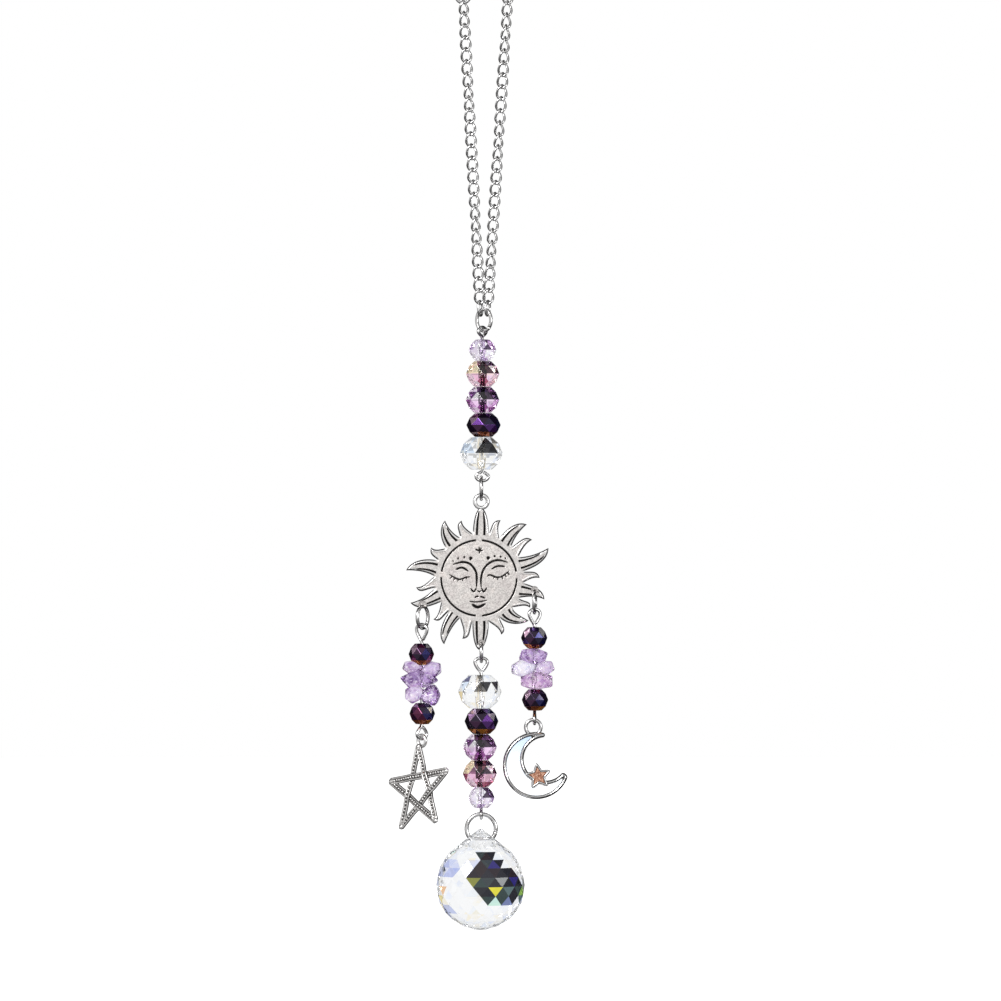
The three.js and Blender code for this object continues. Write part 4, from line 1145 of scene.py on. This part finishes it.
def softened(points, passes=2):
    for _ in range(passes):
        following = np.roll(points, -1, 0)
        points = np.stack([0.75 * points + 0.25 * following, 0.25 * points + 0.75 * following], 1).reshape(-1, 2)
    return points


def slab(outline, front, back):
    count = len(outline)
    verts = np.vstack([at_height(outline, z) for z in (front, back)])
    faces = [tuple(range(count)), tuple(range(2 * count - 1, count - 1, -1))]
    faces += [(j, count + j, count + (j + 1) % count, (j + 1) % count) for j in range(count)]
    return verts, faces


def outline_bar(outline, half_across, half_deep, sides):
    following = unit(np.roll(outline, -1, 0) - np.roll(outline, 1, 0))
    across = np.stack([-following[:, 1], following[:, 0]], 1)
    deep = np.tile([0, 0, half_deep], (len(outline), 1))
    return wrap(at_height(outline, 0.0), at_height(half_across * across, 0.0), deep, sides, True)


def side_shade(rows, sides):
    """Painted shade along both sides of an outline bar, darkening its sides into outlines."""
    return np.tile(0.9 * smooth_step(np.abs(np.cos(around(sides))), 0.55, 0.9), rows)


def five_point(reach, waist):
    turn = math.pi / 2 + MOON_STAR["tilt"] + around(10)
    radius = np.tile([MOON_STAR["reach"] * reach, MOON_STAR["waist"] * waist], 5)
    return arc(turn, radius, MOON_STAR["x"], MOON_STAR["y"])


def add_moon():
    front = MOON["thickness"] / 2
    bar = MOON["bar"] / 2
    star_front = front + MOON_STAR["proud"]
    path = softened(crescent(MOON["radius"] - bar, MOON_INNER["radius"] + bar, 1.36, 5.92))
    rim = five_point(0.98, 0.94)
    rim_path = np.vstack([np.linspace(a, b, 6, endpoint=False) for a, b in zip(rim, np.roll(rim, -1, 0))])
    rim_verts, rim_faces = outline_bar(rim_path, 0.3, 0.3, 10)
    half = (MOON_LOOP["outer"] - MOON_LOOP["wire"]) / 2
    loop_verts, loop_faces = oval(half, half, MOON_LOOP["wire"] * 1.1, 44, 12)
    parts = [
        slab(path, 0.0, -front),
        outline_bar(path, bar, front, 12),
        slab(five_point(1, 1), star_front - 0.3, 0.12 - front),
        (rim_verts + (0, 0, star_front - 0.3), rim_faces),
        (loop_verts + (MOON_LOOP["x"], MOON_LOOP["y"], 0), loop_faces),
    ]
    # The frame's ink: painted shade along the sides of its bar and of the star's rim, and a darker star plate
    ink = np.concatenate([
        np.zeros(len(parts[0][0])), side_shade(len(path), 12), np.full(len(parts[2][0]), 0.5),
        side_shade(len(rim_path), 10), np.zeros(len(loop_verts)),
    ])
    pane = softened(crescent(MOON["radius"] - 2 * bar + 0.1, MOON_INNER["radius"] + 2 * bar - 0.1, 1.76, 5.79), 1)

    def moon_piece(name, drawn, look, colours=None, smooth=False):
        verts, faces = drawn
        thing = piece(name, stand(verts, MOON["x"], MOON["z"]), faces, look, colours, smooth)
        clean_mesh(thing)
        return thing

    frame_piece = moon_piece("moon_frame", gather(parts), SILVER, ("relief", np.outer(ink, [1, 0, 0])), True)
    frame_piece.modifiers.new("edges", "EDGE_SPLIT").split_angle = 0.8
    moon_piece("moon_inlay", slab(pane, front - 0.2, 0.02), PEARL)
    moon_piece("moon_star_enamel", slab(five_point(0.74, 0.74), star_front - 0.06, star_front - 0.32), GLITTER)


add_moon()


# Stage, light and camera
def white_sheet(tree):
    return {
        "Base Color": ramp(tree, noise(tree, 3.0), (0.3, 0.93), (0.7, 0.96)), "Roughness": 0.8,
        "Emission Color": (1, 1, 1, 1), "Emission Strength": 0.6,
    }


def add_floor():
    reach = 6.0
    level = -0.46
    mesh = bpy.data.meshes.new("floor")
    corners = [(x * reach, y * reach, level) for x, y in ((-1, -1), (1, -1), (1, 1), (-1, 1))]
    mesh.from_pydata(corners, [], [(0, 1, 2, 3)])
    mesh.materials.append(made("floor", white_sheet)[1])
    floor = put_in("floor", mesh)
    floor.visible_glossy = False
    floor.visible_transmission = False


def add_world():
    world = bpy.data.worlds.new("studio")
    scene.world = world
    world.use_nodes = True
    tree = world.node_tree
    way = add(tree, "SeparateXYZ", {"Vector": coordinate(tree, "Generated")}).outputs

    def band(value, low, high):
        return spread(tree, value, 0.0, 1.0, (low, high), "SMOOTHSTEP")

    layers = ramp(
        tree, spread(tree, way["Z"], 0.0, 1.0, (-1.0, 1.0)), (0.0, 0.2), (0.25, 0.22),
        (0.42, 0.62), (0.6, 0.84), (0.8, 0.9), (1.0, 0.7),
    )
    shaded = mix(tree, band(way["Y"], -0.74, -0.1), layers, 0.02)
    lit_left = mix(tree, band(way["X"], -0.97, -0.86), 0.75, shaded)
    mirrored = mix(tree, band(way["Y"], 0.9, 0.97), lit_left, 0.8)
    glow = ramp(
        tree, noise(tree, 5.0, 2.0, "Generated"), (0.34, (0.82, 0.87, 1.0)), (0.42, 1.0), (0.58, 1.0),
        (0.68, (1.0, 0.94, 0.8)),
    )
    edge = add(tree, "Math", {0: way["Y"]}, operation="ABSOLUTE").outputs["Value"]
    level = mix(tree, band(edge, 0.14, 0.46), 0.05, glow)
    sides = mix(tree, band(way["Z"], -0.45, -0.25), glow, level)
    ray = add(tree, "LightPath").outputs
    reflected = mix(tree, ray["Is Glossy Ray"], 0.78, mirrored)
    through_glass = mix(tree, ray["Is Transmission Ray"], reflected, sides)
    seen = mix(tree, ray["Is Camera Ray"], through_glass, 1.0)
    fill(tree, tree.nodes["Background"], {"Color": seen})


LIT_MIDDLE = Vector((0, 0, -0.2))


def add_light(name, place, size, power):
    data = bpy.data.lights.new(name, "AREA")
    data.energy = power
    data.size = size
    lamp = put_in(name, data)
    lamp.location = place
    lamp.rotation_euler = (LIT_MIDDLE - Vector(place)).to_track_quat("-Z", "Y").to_euler()


add_floor()
add_world()
add_light("key", (-0.5, -0.7, 0.25), 0.35, 5.0)
add_light("fill", (0.7, -0.5, -0.1), 0.25, 1.5)
scene.view_settings.view_transform = "Standard"
# Light crosses the cut glass many times before it leaves
for limit in ("max_bounces", "glossy_bounces", "transmission_bounces"):
    setattr(scene.cycles, limit, 24)

CAMERA_AWAY = 1.6
PICTURE_WIDTH = 0.2352
camera_data = bpy.data.cameras.new("camera")
camera_data.sensor_width = 36
camera_data.lens = 36 * CAMERA_AWAY / PICTURE_WIDTH
camera = put_in("camera", camera_data)
camera.location = (0.00329, -CAMERA_AWAY, -0.17176)
camera.rotation_euler = (math.pi / 2, 0, 0)
scene.camera = camera
